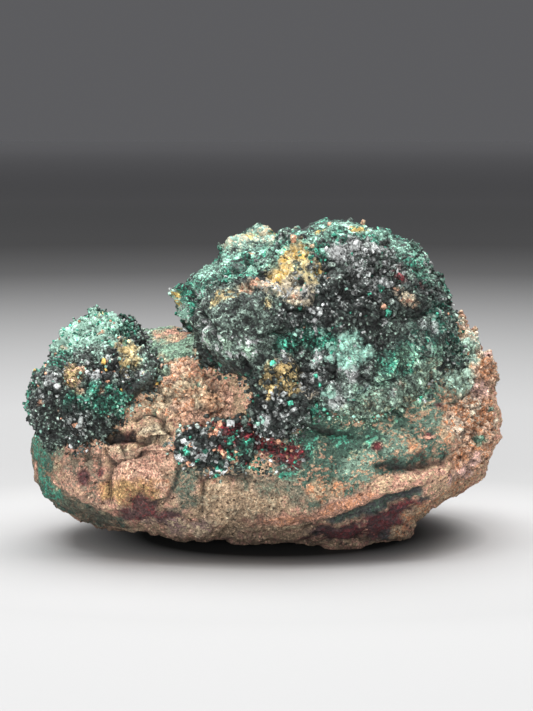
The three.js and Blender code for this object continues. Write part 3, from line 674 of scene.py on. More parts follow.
CRYSTAL_GROUND = (BLACK, GREY_GREEN, 0.4)
LARGE_STAINS = [
    # the rear, the top and the front lobe
    (DEEP_TEAL, TEAL, 0.5, 0.9, [(5, 15, 50, 11), (18, 12, 54, 12), (30, 8, 46, 9), (14, 20, 42, 10)]),
    (TEAL, BLACK, 0.45, 0.9, [(-9, 8, 50, 9), (-14, 4, 44, 6), (-3, 10, 53, 8), (-6, -8, 51, 5)]),
    (TEAL, BLACK, 0.45, 0.85, [(6, -8, 55, 7), (12, -6, 57, 7), (19, -4, 58, 7), (26, -7, 53, 5.5)]),
    (MINT, BLACK, 0.4, 0.65, [(3, -8, 54.5, 4.4), (10, -5, 57, 4.4), (17, -3, 58.5, 4.4), (-1, -4, 54, 4)]),
    (MINT, BLACK, 0.4, 0.7, [(24, -5, 55.5, 4.4), (29, -6, 50.5, 3.6), (-10, 6, 49, 5), (-4, 10, 53, 5)]),
    (MINT, WHITE_AND_GLINT, 0.3, 0.8, [(29, -6, 50, 2), (-12, 1, 44, 2), (-16, 4, 42, 2.4), (14, -2, 59, 2)]),
    (GREY_GREEN, BLACK, 0.45, 0.95,
     [(-4, -23, 41, 6), (-9, -19, 44, 6), (-9, -15, 47, 4), (2, -20, 43, 5)]),
    (GREY_GREEN, WHITE_AND_GLINT, 0.5, 1.0,
     [(-7, -22, 38.5, 2.4), (-10, -18, 39, 2), (-3, -23, 38, 2), (-11, -17, 41, 2)]),
    (PALE_FILM, WHITE_AND_GLINT, 0.4, 0.85, [(-7, -22.5, 38, 1.6), (-3, -23.5, 37.6, 1.4), (-10, -18.5, 38.6, 1.4)]),
    (GREY_GREEN, BLACK, 0.4, 0.9,
     [(-3, -17, 47, 3), (2, -18, 45.5, 3), (27, -16, 44, 3.5), (24, -18, 42, 3)]),
    # the middle, and the slope on the right
    (DEEP_TEAL, GREY_GREEN, 0.5, 0.95,
     [(28, -17, 37, 4.5), (31, -12, 41, 4.5), (25, -18, 33, 4), (32, -8, 40, 6)]),
    (DEEP_TEAL, TEAL, 0.45, 0.9,
     [(9, -19.5, 40, 3.2), (13, -21, 39, 2.6), (4, -21, 39, 2.4), (22, -20, 36, 3)]),
    (GREY_GREEN, TEAL, 0.4, 0.95,
     [(14, -22.5, 27, 4), (20, -21, 28, 4.5), (27, -16, 31, 4), (9, -23, 27, 2.6)]),
    (GREY_GREEN, GREY_GLINT, 0.35, 0.8, [(12, -22.5, 30, 2.6), (18, -21, 31, 2.6), (23, -19, 30, 2)]),
    (SEA_GREEN, DEEP_TEAL, 0.6, 0.6,
     [(30, -14, 36, 2.4), (25, -18, 35, 2.4), (21, -20.5, 33, 2.4), (17, -21, 30, 2)]),
    (PALE_FILM, FILM_FLECK, 0.35, 0.65,
     [(15, -23, 25.5, 3), (20, -22, 26.5, 3.4), (26, -18, 29, 3.4), (29, -15, 32, 3)]),
    # black crystals, and grey ones on the crown, the grey a painted glint of faces catching the lamp
    (BLACK, GREY_GLINT, 0.35, 0.95,
     [(17, -18, 46, 5.5), (11, -19, 44.5, 5), (5, -19, 44, 3), (10, -15, 50, 3.4)]),
    (BLACK, GREY_GREEN, 0.4, 0.95,
     [(20, -20, 41, 4.5), (14, -21, 42, 3), (26, -14, 46, 3), (18, -21, 38.5, 2)]),
    (BLACK, GREY_GLINT, 0.35, 0.95, [(1, -26, 28, 4.5), (1, -26, 24, 3.4), (6, -24, 29, 3), (9, -22, 33, 3)]),
    (GREY_GLINT, WHITE_AND_GLINT, 0.7, 1.0,
     [(13, -13, 54, 2.2), (16, -12, 54.5, 2.2), (19, -11, 54, 2), (10.5, -14, 52.5, 1.4)]),
    (GREY_GLINT, BLACK, 0.5, 0.85,
     [(17, -14, 51.5, 3), (20, -15, 48.5, 2.6), (23, -12, 51, 2.4), (22, -10, 54, 2)]),
    # partly painted shade: black on the smooth underside of the front bulge
    (BLACK, DEEP_TEAL, 0.3, 1.0, [(-6, -18.5, 33.3, 3.6), (-3, -19, 32.3, 3), (-9, -16.5, 34.3, 3)]),
    (MINT, TEAL, 0.45, 0.7, [(-3, -6, 53, 3), (0, -8, 53, 2.6), (-6, -9, 50.5, 2.4), (2, -10, 53.5, 2)]),
    (BLACK, BLACK, 0.1, 0.9, [(12.5, -15, 50, 2), (20, -7, 55, 1.2), (-6, 2, 50, 2), (31, -9, 46, 1.6)]),
    # gold, cream and ochre, in a streak below the top and in patches
    (PALE_GOLD, GREY_GREEN, 0.3, 1.0,
     [(7.4, -13, 51, 2), (8, -14.5, 49.5, 1.6), (0.5, -14, 51, 2), (-4, -17, 47.6, 1.2)]),
    (CREAM, WHITE_AND_GLINT, 0.35, 1.0,
     [(2.1, -15.2, 49, 3), (4.3, -15.8, 47.8, 2.6), (-0.1, -16.1, 48.6, 2.2), (6.5, -16, 46.9, 2)]),
    (PALE_GOLD, GOLD, 0.4, 1.0,
     [(4.5, -8, 53.6, 2.6), (3.7, -9.8, 52.2, 2.8), (5.8, -10.8, 52.8, 2.4), (2.8, -12, 50.7, 2.6)]),
    (GOLD, PALE_GOLD, 0.35, 1.0,
     [(4.3, -8, 53.7, 1.6), (3.6, -9.8, 52.3, 1.5), (2.8, -11.8, 50.8, 1.5), (2, -14, 49.6, 1.1)]),
    (PEACH, CREAM, 0.4, 0.95,
     [(-1.5, -16, 49, 1.8), (-3.4, -17, 47.6, 1.6), (0.5, -15, 50, 1.2), (5.5, -16.5, 46.5, 1)]),
    (OCHRE, GREY_GREEN, 0.4, 0.8,
     [(-6, -18, 46.5, 1.6), (-9, -17, 46, 1.4), (0, -19, 45, 1.3), (9, -14, 51.5, 1.4)]),
    (OCHRE, BLACK, 0.35, 0.95,
     [(2.5, -24, 32.7, 2.8), (4.5, -23, 34, 1.7), (0.5, -25, 31.4, 1.8), (5, -24, 31, 1)]),
    (GREY_GLINT, CREAM, 0.5, 0.85, [(7, -23.5, 31, 1.2), (3.5, -22, 36, 1.3), (8.5, -23, 29.5, 1)]),
    (GOLD, TEAL, 0.4, 0.9, [(10, -4, 57.5, 1.4), (17, -4, 57.5, 1.6), (-5, 13, 54, 2.4), (2, 15, 56, 2)]),
    (CREAM, MINT, 0.6, 0.9, [(-1, 13, 56.5, 3.4), (3, 11, 56, 3.4), (-5, 12, 54, 3)]),
    (GOLD, MINT, 0.4, 0.9,
     [(-3, 13, 55, 1.6), (0.5, 12, 57, 1.2), (-17, 5, 44, 1.6), (9, -14.5, 50.5, 0.9)]),
    # small spots of red, cream and turquoise, and silver ones that are painted glints
    (DARK_RED, BLACK, 0.4, 0.95,
     [(24, -14, 50.5, 1.7), (26, -12, 48.5, 1.2), (22, -14, 48, 0.9), (28, -12, 48, 0.8)]),
    (CREAM, PEACH, 0.5, 0.85,
     [(25, -16, 46, 1.4), (23.5, -16, 47.5, 0.9), (21, -18, 45, 0.6), (26.5, -15, 44.6, 0.7)]),
    (WHITE_AND_GLINT, BLACK, 0.5, 0.6, [(30, -15, 40.7, 1.3), (28, -16.5, 41.5, 1), (26, -18, 40, 0.8)]),
    (WHITE_AND_GLINT, BLACK, 0.45, 0.7,
     [(14, -21, 34.5, 1.7), (15.5, -21, 33, 1.2), (12.5, -22.5, 28.6, 1.5), (18, -21, 35, 1)]),
    (WHITE_AND_GLINT, BLACK, 0.4, 0.9,
     [(-6, -21, 36.8, 0.9), (7, -16, 47, 1.2), (7.5, -22.5, 33, 1), (4, -26, 22.5, 1.4)]),
    (WHITE_AND_GLINT, TURQUOISE, 0.4, 0.9,
     [(9, -21, 36.3, 1.6), (12, -21, 36.4, 1.2), (6.5, -21, 37, 1), (0, -26, 26, 1)]),
    (TURQUOISE, MINT, 0.4, 1.0,
     [(15, -20, 37.6, 3), (17, -20, 36.8, 2), (13.5, -20.5, 36, 1.4), (11, -22.5, 30, 1.1),
      (19, -21, 36, 0.9)]),
    (TEAL, TURQUOISE, 0.4, 0.9,
     [(9.5, -19.5, 39.6, 1.6), (7.5, -20, 38.5, 1.1), (11.5, -20, 38.6, 1), (13, -19.5, 41, 0.8)]),
]
# Stray crystals of other colours, the grey and silver ones painted glints, and how many of all they are.
LARGE_SPECKS = [(WHITE_AND_GLINT, 0.015), (GREY_GLINT, 0.1), (TEAL, 0.04), (TURQUOISE, 0.01), (PEACH, 0.005)]
# Where the crust is fine, where it broke clean into smooth faces, and where it is coarse.
LARGE_FINE = [
    (0, 12, 54, 8), (12, 0, 60, 9), (22, 0, 58, 8), (-5, -22, 41, 8), (-10, -16, 44, 6),
    (28, -17, 37, 6), (20, -21, 29, 8), (-9, 6, 50, 9), (27, -16, 31, 6),
]
LARGE_SMOOTH = [(-6, -18, 33, 3.6), (-3, -18, 32, 2.6), (30, -15.5, 37, 2.2), (12.5, -15, 50, 1.6)]
LARGE_COARSE = [
    (1, -26, 28, 6), (3, -24, 34, 4), (12, -21, 32, 6), (15, -13, 53, 6), (21, -15, 48, 6),
    (8, -20, 44, 5),
]
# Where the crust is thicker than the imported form, or thinner where its rise is below 0: x, y,
# z, radius and rise in mm.
LARGE_RAISED = [
    (2.6, 10, 54, 4.2, 2.6), (-5, 11.5, 53, 3.2, 1.4), (-1.4, 14.6, 57.2, 1.8, -1.3),
    (9.8, 1.7, 60, 1.6, -1.2),
]
# Crevices between the bunches, in the way of the rock's cracks.
LARGE_CREVICES = [
    ([(-1, 39.8), (1, 40.7), (3.4, 40.7), (6.4, 41.5), (9.2, 42.2)], 1.0, 0.45),
    ([(-4.6, 37.4), (-3.2, 35), (-3.2, 33.6), (-4, 31)], 1.3, 0.6),
    ([(12.3, 37), (12.3, 34.2), (11.6, 32.4)], 1.0, 0.4),
    ([(9, 50.4), (11, 52.6), (13.4, 52.8)], 1.2, 0.5),
    ([(15.5, 51), (16.2, 49.4), (15.2, 48.4)], 1.0, 0.4),
    ([(17, 33.4), (20, 31.6), (23, 31.8)], 0.8, 0.45),
    ([(22, 44.2), (26, 43), (29.6, 43.4)], 0.9, 0.5),
    ([(-9, 48.6), (-5, 50.4), (-1, 50.6)], 1.0, 0.5),
    ([(19, 50), (22, 51.6), (24.6, 52.4)], 0.8, 0.4),
    ([(13, 46.4), (17, 47), (20, 46)], 0.8, 0.45),
    ([(4, 43.6), (8, 44.8), (11, 44.6)], 0.8, 0.45),
    ([(-12, 44), (-9.6, 41.6), (-8, 38.4)], 0.8, 0.5),
]


SWELL = 0.3  # mm, to meet the rock


def crust(node, name, grain, bunch, height, fine=(), smooth=(), crevices=(), raised=()):
    """A mass's skin with its crystals' bunches standing out on it, `bunch` mm across and about
    `height` mm high, and at each point its relief, its hollows and how smooth it is."""
    mesh = fine_copy(node, name, grain, smoothing=12)
    points, normals = skin_of(mesh)
    for x, y, z, radius, rise in raised:
        far = np.linalg.norm(points - (x, y, z), axis=1) / radius
        points = points + (rise * np.exp(-(far**2)))[:, None] * (0, 0, 1)
    moved = wander(points, 4, 1.2)
    broken = spread(points, smooth, 0.15 * (moved - points)[:, 0], 0.15)
    even = spread(points, fine, 0.2 * (moved - points)[:, 0])
    bunches, bunch_seams = faceted(moved, bunch, height, 0.16)
    knots, knot_seams = faceted(moved, 0.42 * bunch, 0.5 * height, 0.2, 1.0, 4.0)
    grit, _ = faceted(points, 0.95, 0.22 * height, 0.2, 1.0, 8.0)
    relief = 0.35 * height * lumps(points, 1.3 * bunch, 4, 3.0) + bunches + knots
    relief = relief * (1 - 0.6 * even) + grit
    net = crack_net(points, 1.1 * bunch, 0.12, 6.0)
    net = np.maximum(net, 0.85 * crack_net(points, 0.55 * bunch, 0.15, 7.0))
    net = np.maximum(net, 0.7 * crack_net(points, 0.3 * bunch, 0.16, 10.0))
    deep = 0.3 * bunch_seams + 0.2 * knot_seams + 0.9 * net
    deep = np.clip(deep * (1 - 0.4 * even), 0, 1)
    for line, depth, half_width in crevices:
        opened = line_depth(points + 0.3 * (moved - points), line, half_width)
        relief -= depth * opened
        deep = np.maximum(deep, opened)
    relief = np.clip(relief - 0.6 * height * deep, -2, 0.8) * (1 - 0.9 * broken)
    reshape(mesh, points + normals * (SWELL + relief)[:, None])
    return mesh, relief / height, deep * (1 - broken), broken + even


CRYSTAL_BUNCH, CRYSTAL_GRAIN = 1.4, 0.4  # mm across


def crystal_finish(name, gloss, tilt, seam):
    """Glassy crystals: each its own colour, with flat faces at every slant, painted shade in the seams and
    hollows, and painted light and shade on the faces.
    """
    material, tree, surface = new_material(name)
    skin = add_node(tree, "NewGeometry").outputs["Normal"]
    bunch, bunch_edge, skin = shader_grains(tree, CRYSTAL_BUNCH, 0.6 * tilt, skin, 1.5)
    own, edge, skin = shader_grains(tree, CRYSTAL_GRAIN, tilt, skin, 1.8)
    painted_on = flecked(tree, CRYSTAL_GRAIN, own["Red"])
    pale = add_node(tree, "RGBToBW", Color=painted_on).outputs["Val"]
    clumps = shader_noise(tree, 2.6, 5.0, 0.6)
    height = shader_noise(tree, 0.55, 5.0, 0.7)
    # each grain's brightness: partly its own tone, partly painted light and shade for faces that catch the
    # lamp or turn from it
    facet = ramp(tree, own["Green"], 0.0, 1.0, 0.3, 2.9)
    facet = maths(tree, "MULTIPLY", facet, ramp(tree, bunch["Green"], 0.0, 1.0, 0.6, 1.5))
    gaps = maths(tree, "MAXIMUM", ramp(tree, edge, 0.0, 0.14), ramp(tree, clumps, 0.44, 0.56))
    base = toned(
        tree,
        painted_on,
        ramp(tree, clumps, 0.36, 0.64, 0.55, 1.5),
        # painted shade in the hollows of the bumps, painted light on their tops
        ramp(tree, height, 0.40, 0.55, 0.1, 1.4),
        facet,
        # painted shade in the seams between the grains and between the bunches
        ramp(tree, gaps, 0.0, 1.0, seam, 1.0),
        ramp(tree, bunch_edge, 0.0, 0.06, seam, 1.0),
    )
    base = blend(tree, "MIX", ramp(tree, pale, 0.2, 0.6, 0.0, 0.75), base, painted_on)
    tree.links.new(base, surface.inputs["Base Color"])
    dust = ramp(tree, clumps, 0.35, 0.65, gloss + 0.2, gloss)
    dust = maths(tree, "ADD", dust, ramp(tree, pale, 0.04, 0.3, 0.0, 0.4))
    tree.links.new(dust, surface.inputs["Roughness"])
    surface.inputs["IOR"].default_value = 1.5
    bump = add_node(tree, "Bump", Strength=1.0, Distance=0.45 * MM, Height=height, Normal=skin)
    tree.links.new(bump.outputs["Normal"], surface.inputs["Normal"])
    return material


# seam is the tone of the painted shade in the seams: 1 is none, lower is darker
crystal_skin = crystal_finish("atacamite_crystals", gloss=0.34, tilt=0.12, seam=0.8)
crust_skin = crystal_finish("atacamite_crust", gloss=0.38, tilt=0.5, seam=0.15)


def paleness(colours):
    """0 for the dark crystals up to 1 for the palest, whose tone varies less and whose painted shade is
    weaker.
    """
    return np.clip(colours.mean(axis=1) / 0.6, 0, 1)


def own_colours(points, ground, stains, specks):
    """For each crystal one colour of its own: the place's, its flecks', or a stray speck's."""
    main, fleck, share = stained(points, ground, stains)
    taken = random.random(len(points)) < share
    main[taken] = fleck[taken]
    for colour, chance in specks:
        main[random.random(len(points)) < chance] = colour
    bunched = np.clip(1 + 0.45 * lumps(points, 2.2, 3, 12.0), 0.4, 1.4)
    tone = bunched * random.uniform(0.5, 1.2, len(points)) - 1
    main *= (1 + tone * (1 - 0.7 * paleness(main)))[:, None]
    return main, main, np.zeros(len(points))


SLENDEREST, STOUTEST = (0.8, 0.5, 0.5), (1.2, 0.9, 0.9)  # a crystal's sides, of its length


def grown(name, skin, chosen, spacing, lengths, lean, stains, specks, towards=(0, 0, 0)):
    """Crystals at least `spacing` mm apart, with lengths between the two in mm, over the chosen
    points of a skin, which is its points, normals and hollows."""
    points, normals, deep = (values[chosen] for values in skin)
    sites = sites_on(points, spacing, np.ones(len(points), bool))
    count = len(sites)
    length = lengths[0] + (lengths[1] - lengths[0]) * random.random(count) ** 1.8
    sizes = length[:, None] * random.uniform(SLENDEREST, STOUTEST, (count, 3))
    main, fleck, share = own_colours(points[sites], CRYSTAL_GROUND, stains, specks)
    # painted shade: crystals in the hollows darker, pale ones less so
    shade = (1 - 0.7 * deep[sites] * (1 - 0.5 * paleness(main)))[:, None]
    colours = (main * shade, fleck * shade, share)
    out = leaning(normals[sites], lean, towards)
    chips(name, points[sites], out, sizes, colours, "dark_crystals", crystal_skin, rise=-0.1, foot_shade=0.35)


CLEARANCE = 0.8  # mm, in front of a point where a crystal can grow


def open_air(points, normals, other):
    """True for the points of a skin that don't have the other skin just in front of them."""
    reach = CLEARANCE * MM
    hits = (other.ray_cast(Vector(p * MM), Vector(n), reach)[0] for p, n in zip(points, normals))
    return np.array([hit is None for hit in hits])


def crusted(node, stains, mesh, relief, deep, broken):
    """Sets a mass's crust in the scene. Returns its skin, with its hollows, and its bare parts."""
    points, normals = skin_of(mesh)
    main, fleck, share = stained(points, CRYSTAL_GROUND, stains)
    # painted shade: darker in the hollows and low in the relief, lighter high up, darker on the smooth
    # faces
    deeply = 0.93 * deep * (1 - 0.5 * paleness(main))
    shade = (np.clip(1.15 + 0.35 * relief, 0.5, 1.5) * (1 - deeply) * (1 - 0.2 * broken))[:, None]
    painted(mesh, main * shade, fleck * shade, share)
    mesh.materials.append(crust_skin)
    piece_of(mesh, node)
    crusts.append(mesh)
    return (points, normals, deep), open_air(points, normals, rock_tree) & (broken < 0.4)


rock_points, rock_normals = skin_of(rock)
rock_tree = BVHTree.FromPolygons(
    [tuple(p * MM) for p in rock_points], [tuple(f.vertices) for f in rock.polygons]
)
crusts = []
LARGE_PARTING = 0.0  # mm: the front's crystals are in front of this y
shaped = crust(
    "large_crystal_mound",
    "large_mound_crust",
    grain=0.37,
    bunch=4.2,
    height=1.4,
    fine=LARGE_FINE,
    smooth=LARGE_SMOOTH,
    crevices=LARGE_CREVICES,
    raised=LARGE_RAISED,
)
skin, bare = crusted("large_crystal_mound", LARGE_STAINS, *shaped)
points = skin[0]
coarse = spread(points, LARGE_COARSE, 0.3 * lumps(points, 4)) > 0.5
front = points[:, 1] < LARGE_PARTING
for name, chosen, spacing, lengths, lean, towards in (
    ("large_mound_coarse", bare & coarse, 0.8, (0.5, 1.5), 0.5, (0.2, 0, -0.1)),
    ("large_mound_front", bare & ~coarse & front, 1.0, (0.4, 0.9), 0.4, (0, 0, 0)),
    ("large_mound_rear", bare & ~coarse & ~front, 1.0, (0.4, 0.9), 0.4, (0, 0, 0)),
):
    grown(name, skin, chosen, spacing, lengths, lean, LARGE_STAINS, LARGE_SPECKS, towards)

# --- The small crystal mound -------------------------------------------------------------------
# The same crystals, grown as a small dome on the rock's left end, pale green on top and black
# below, with a ridge on its right that overhangs a clean face, painted dark partly as painted shade.

SMALL_STAINS = [
    (TEAL, BLACK, 0.35, 0.9, [(-33, 0, 40, 6), (-35, -5, 38, 5), (-28, 0, 39, 4), (-32, 8, 36, 7)]),
    (MINT, TEAL, 0.2, 1.0,
     [(-33, -1, 41, 6), (-35, -7, 38, 4.6), (-30, -8, 38.5, 3.8), (-37, -3, 37, 4.2)]),
    (TEAL, BLACK, 0.4, 0.8, [(-37, -12, 35, 3), (-39, -9, 30, 4), (-41, -8, 25, 4)]),
    (GREY_GREEN, MINT, 0.4, 0.85,
     [(-30, -13, 36.5, 2.6), (-25, -7, 37, 3), (-22, -13, 34, 2), (-34, -13, 36, 2)]),
    (DEEP_TEAL, TEAL, 0.5, 0.9, [(-29, -21, 29, 3), (-26, -19, 28, 2.6), (-33, -21, 28, 2.6)]),
    (BLACK, GREY_GLINT, 0.35, 0.9,
     [(-33, -22, 25, 3.2), (-39, -19, 29, 2.2), (-27, -15, 34, 2), (-38, -18, 32, 2)]),
    # partly painted shade: black on the clean face under the ridge
    (BLACK, DEEP_TEAL, 0.2, 1.0, [(-20.5, -16.5, 30, 2.6), (-23, -17, 29.5, 2)]),
    (BLACK, GREY_GLINT, 0.3, 0.9, [(-29, -17, 32.4, 2.2), (-40, -16, 26, 2.4), (-26, -10, 36.5, 1.5)]),
    (OCHRE, PEACH, 0.5, 0.65,
     [(-34, -19.5, 32.5, 1.8), (-33, -18.5, 34, 1.4), (-32.5, -21, 30.5, 1), (-35, -17, 34, 1)]),
    (PALE_GOLD, OCHRE, 0.6, 0.95, [(-25, -11, 36, 2.3), (-25, -14.5, 34.5, 1.9), (-23.5, -13, 34.5, 1.4)]),
    (GOLD, TEAL, 0.3, 0.8, [(-25.5, -9, 37, 0.9), (-34, -6, 38.5, 0.9), (-30, 2, 41, 0.9)]),
    (WHITE_AND_GLINT, GREY_GLINT, 0.3, 0.9, [(-30, -18.5, 33, 1), (-38, -18, 32, 1.1), (-28.5, -18, 33.5, 0.8)]),
    (WHITE_AND_GLINT, OCHRE, 0.2, 0.9, [(-22.5, -16, 33, 1), (-24, -16.5, 32.6, 0.8), (-20.5, -14.5, 33.4, 0.8)]),
    (TEAL, MINT, 0.4, 0.9, [(-26, -18, 27, 1.8), (-31, -20.5, 28.5, 1.4), (-24.5, -17.5, 28.5, 1)]),
    (PEACH, CREAM, 0.4, 0.9, [(-39.5, -19, 28, 0.6), (-37, -20.5, 26.5, 0.6), (-29, -22, 28.5, 0.6)]),
    (PEACH, CREAM, 0.4, 0.9, [(-30.5, -4.5, 38.5, 0.8), (-36.5, -9, 36.8, 0.9), (-29, -20, 30, 0.7)]),
]
SMALL_SPECKS = [(WHITE_AND_GLINT, 0.015), (GREY_GLINT, 0.08), (TURQUOISE, 0.05), (PEACH, 0.02), (GOLD, 0.01)]
SMALL_SMOOTH = [(-20.5, -16.5, 29.8, 2.6), (-23, -16.5, 29.5, 1.6)]
SMALL_COARSE = [(-33, -21, 26, 3), (-29, -17, 33, 3), (-38, -18, 30, 3)]
SMALL_CREVICES = [
    ([(-30, 34.6), (-28.8, 32.6), (-28.6, 30.4)], 0.8, 0.45),
    ([(-35.5, 35.5), (-36.4, 33.4), (-36, 31)], 0.7, 0.45),
    ([(-27.5, 37), (-27, 35.5), (-26.6, 33.6)], 0.7, 0.45),
    ([(-35, 28.6), (-32.6, 27.4), (-30, 27.6)], 0.7, 0.4),
]
shaped = crust(
    "small_crystal_mound",
    "small_mound_crust",
    grain=0.36,
    bunch=3.4,
    height=1.1,
    smooth=SMALL_SMOOTH,
    crevices=SMALL_CREVICES,
)
skin, bare = crusted("small_crystal_mound", SMALL_STAINS, *shaped)
points = skin[0]
coarse = spread(points, SMALL_COARSE, 0.3 * lumps(points, 4)) > 0.5
for name, chosen, spacing, lengths in (
    ("small_mound_coarse", bare & coarse, 0.7, (0.5, 1.3)),
    ("small_mound_fine", bare & ~coarse, 0.75, (0.4, 0.8)),
):
    grown(name, skin, chosen, spacing, lengths, 0.4, SMALL_STAINS, SMALL_SPECKS)

# --- The front crystal patch -------------------------------------------------------------------
# A low patch of black blocky crystals on the front ledge, with rust and pink crumbs of rock
# caught between them.

PATCH_STAINS = [
    (BLACK, GREY_GLINT, 0.3, 0.9, [(-11, -25, 22, 4), (-12, -25, 19, 4)]),
    (DARK_RED, BLACK, 0.4, 1.0,
     [(-5, -26, 24, 2.2), (-8, -25, 25, 1.4), (-2, -25, 23, 2.4), (1, -25, 21, 2.6), (4, -25, 20, 2)]),
    (PEACH, TEAL, 0.4, 0.8,
     [(-5.5, -26, 20, 1.6), (-9, -25, 24, 0.9), (-3, -26, 22, 0.9), (-13, -24, 25, 1)]),
    (DEEP_TEAL, TEAL, 0.4, 0.8, [(-3.5, -26, 21.5, 1.6), (-8, -25, 18, 1.6), (-2, -25, 17.5, 2)]),
    (WHITE_AND_GLINT, GREY_GLINT, 0.5, 0.9, [(-15, -24, 19, 1.2), (-11, -25, 20.5, 1.2)]),
]
PATCH_SPECKS = [(WHITE_AND_GLINT, 0.05), (GREY_GLINT, 0.08), (PEACH, 0.05), (TEAL, 0.06), (DARK_RED, 0.05)]
shaped = crust("front_crystal_patch", "front_patch_crust", grain=0.3, bunch=1.8, height=0.7)
skin, bare = crusted("front_crystal_patch", PATCH_STAINS, *shaped)
grown("front_patch_crystals", skin, bare, 0.62, (0.55, 1.5), 0.6, PATCH_STAINS, PATCH_SPECKS)

# --- The strewn grains -------------------------------------------------------------------------
# The masses have no clean edge: single crystals are scattered on the rock round each of them,
# thickly between the front patch and the mounds, and a few crumbs of pink rock lie caught on
# the large mound.

# Where the grains lie thickly: x, y, z and radius in mm.
STREWN = [
    (-13, -25, 22, 4), (-6, -26, 22, 5), (-1, -25.5, 21, 4.5), (3, -25, 20, 3.5),
    (-9, -25, 18.5, 3.4),
]
EDGE_REACH = 3.0  # mm: how far off a mass is looked for
EDGE_FADE = 0.9  # mm over which the grains grow rare
COVERED = 9.0  # mm: stands for a place under a mass, where no grain lies
MOUND_PARTING = -19.0  # mm: the grains left of this x are the small mound's
edges = np.full(len(rock_points), COVERED)
reach = EDGE_REACH * MM
for mesh in crusts:
    faces = [tuple(f.vertices) for f in mesh.polygons]
    mass = BVHTree.FromPolygons([v.co for v in mesh.vertices], faces)
    far = [mass.find_nearest(Vector(p * MM), reach)[3] or reach for p in rock_points]
    edges = np.minimum(edges, np.array(far) / MM)
    edges[~open_air(rock_points, rock_normals, mass)] = COVERED
chance = 0.9 * np.exp(-((edges / EDGE_FADE) ** 2)) + 0.9 * spread(rock_points, STREWN, 0.3 * broad)
chosen = (random.random(len(rock_points)) < chance) & (edges < COVERED)
skin = (rock_points[chosen], rock_normals[chosen], np.zeros(chosen.sum()))
points = skin[0]
by_patch = spread(points, STREWN, 0) > 0.3
left = points[:, 0] < MOUND_PARTING
for name, part, stains, specks in (
    ("strewn_patch_grains", by_patch, PATCH_STAINS, PATCH_SPECKS),
    ("strewn_small_grains", left & ~by_patch, SMALL_STAINS, SMALL_SPECKS),
    ("strewn_large_grains", ~left & ~by_patch, LARGE_STAINS, LARGE_SPECKS),
):
    grown(name, skin, part, 0.55, (0.4, 1.2), 0.5, stains, specks)

# The crumbs on the large mound: x, y, z and size in mm.
CRUMBS = np.array(
    [
        (5.2, -6.2, 55.9, 1.6), (11.9, -2, 58, 1.2), (-2.6, 6.9, 51.6, 1.5), (8.5, -9.5, 54.7, 0.9),
        (18, -1.5, 58.6, 0.9),
    ]
)
CRUMBS_FACE = (0.0, -0.5, 1.0)  # up and to the front
count = len(CRUMBS)
places = CRUMBS[:, :3]
sizes = CRUMBS[:, 3:] * random.uniform(0.7, 1.1, (count, 3))
colours = (np.tile(PEACH, (count, 1)), np.tile(PALE_TAN, (count, 1)), np.full(count, 0.4))
out = leaning(np.tile(CRUMBS_FACE, (count, 1)), 0.3)
own = {"taper": (0.6, 0.9), "foot_shade": 0.8}
chips("mound_crumbs", places, out, sizes, colours, "matrix_rock", rock_skin, **own)

# --- The studio --------------------------------------------------------------------------------
# A plain pale floor under one broad soft lamp, above and slightly behind, with a low weak one
# in front. The floor has a painted shadow under the specimen with a painted lighter ring round
# it, is a little lighter in front of the middle than behind it, and darkens behind it to a grey backdrop.

FLOOR_REACH = 6.0  # m
FLOOR_SIDES = 96
PAINTED_SHADOW_MIDDLE = (1.74, -2.09)  # mm: the middle of the painted shadow on the floor
PAINTED_SHADOW_RADII = (29.0, 19.0)  # mm
BACKDROP_GREY = (0.108, 0.108, 0.114, 1)
LAMP_AIM = Vector((0, 0, 0.03))  # m
scene = bpy.context.scene
floor_mesh = bpy.data.meshes.new("floor")
turns = np.linspace(0, 2 * math.pi, FLOOR_SIDES, endpoint=False)
rim = [(FLOOR_REACH * math.cos(turn), FLOOR_REACH * math.sin(turn), 0) for turn in turns]
wedges = [(0, i + 1, (i + 1) % FLOOR_SIDES + 1) for i in range(FLOOR_SIDES)]
floor_mesh.from_pydata([(0, 0, 0)] + rim, [], wedges)
floor = bpy.data.objects.new("floor", floor_mesh)
scene.collection.objects.link(floor)
floor_finish, tree, surface = new_material("floor")
place = add_node(tree, "NewGeometry").outputs["Position"]
far = vector_maths(tree, "LENGTH", place)["Value"]
behind = add_node(tree, "SeparateXYZ", Vector=place).outputs["Y"]
painted_shadow = add_node(
    tree,
    "Mapping",
    Vector=place,
    Location=(-PAINTED_SHADOW_MIDDLE[0] / PAINTED_SHADOW_RADII[0], -PAINTED_SHADOW_MIDDLE[1] / PAINTED_SHADOW_RADII[1], 0.0),
    Scale=(1 / (PAINTED_SHADOW_RADII[0] * MM), 1 / (PAINTED_SHADOW_RADII[1] * MM), 0.0),
)
painted_shadow = vector_maths(tree, "LENGTH", painted_shadow.outputs["Vector"])["Value"]
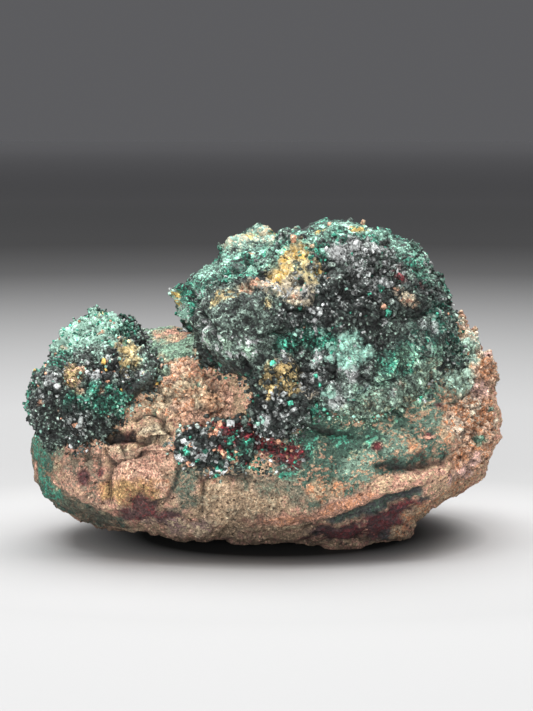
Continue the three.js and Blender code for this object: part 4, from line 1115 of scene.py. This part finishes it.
# The floor's tone is the sum of these steps: `far` is in m from the middle, `painted_shadow` in
# radii of the painted shadow under the specimen, and `behind` in m behind the middle.
tone = 0.0
for value, low, high, to_low, to_high in (
    (far, 0.15, 0.55, 0.46, 0.22),
    (far, 0.75, 1.3, 0.0, 0.28),
    (far, 1.3, 4.0, 0.0, 0.44),
    (far, 4.0, 5.8, 0.0, 0.1),
    # painted shadow under the specimen, and a painted lighter ring round it
    (painted_shadow, 0.85, 1.4, -0.45, 0.12),
    (painted_shadow, 1.4, 3.0, 0.0, -0.12),
    (behind, -0.06, 0.06, 0.045, -0.05),
):
    tone = maths(tree, "ADD", ramp(tree, value, low, high, to_low, to_high), tone)
grey = add_node(tree, "CombineColor", Red=tone, Green=tone, Blue=tone).outputs[0]
tree.links.new(grey, surface.inputs["Base Color"])
surface.inputs["Roughness"].default_value = 0.7
surface.inputs["Specular IOR Level"].default_value = 0.1
floor_mesh.materials.append(floor_finish)

world = bpy.data.worlds.new("studio")
scene.world = world
world.use_nodes = True
world.node_tree.nodes["Background"].inputs["Color"].default_value = BACKDROP_GREY


def softbox(name, at, size, power):
    """A rectangular lamp aimed at the specimen: its place and size in m, and its power in W."""
    lamp = bpy.data.lights.new(name, "AREA")
    lamp.shape = "RECTANGLE"
    lamp.size, lamp.size_y = size
    lamp.energy = power
    holder = bpy.data.objects.new(name, lamp)
    holder.location = at
    holder.rotation_euler = (LAMP_AIM - Vector(at)).to_track_quat("-Z", "Y").to_euler()
    scene.collection.objects.link(holder)


softbox("overhead", at=(0.0, 0.12, 0.50), size=(0.8, 0.5), power=6.4)
softbox("front_fill", at=(-0.15, -0.75, 0.15), size=(0.6, 0.26), power=6.3)

MIDDLE = Vector((0.2, 0.7, 33.5)) * MM  # of the view
VIEW_DISTANCE = 314.8 * MM
VIEW_DOWN = math.radians(8)
lens = bpy.data.cameras.new("camera")
lens.lens = 85
lens.sensor_width = 36
lens.clip_start = 0.01
camera = bpy.data.objects.new("camera", lens)
camera.location = MIDDLE + VIEW_DISTANCE * Vector((0, -math.cos(VIEW_DOWN), math.sin(VIEW_DOWN)))
camera.rotation_euler = (math.pi / 2 - VIEW_DOWN, 0, 0)
scene.collection.objects.link(camera)
scene.camera = camera
scene.view_settings.view_transform = "Standard"
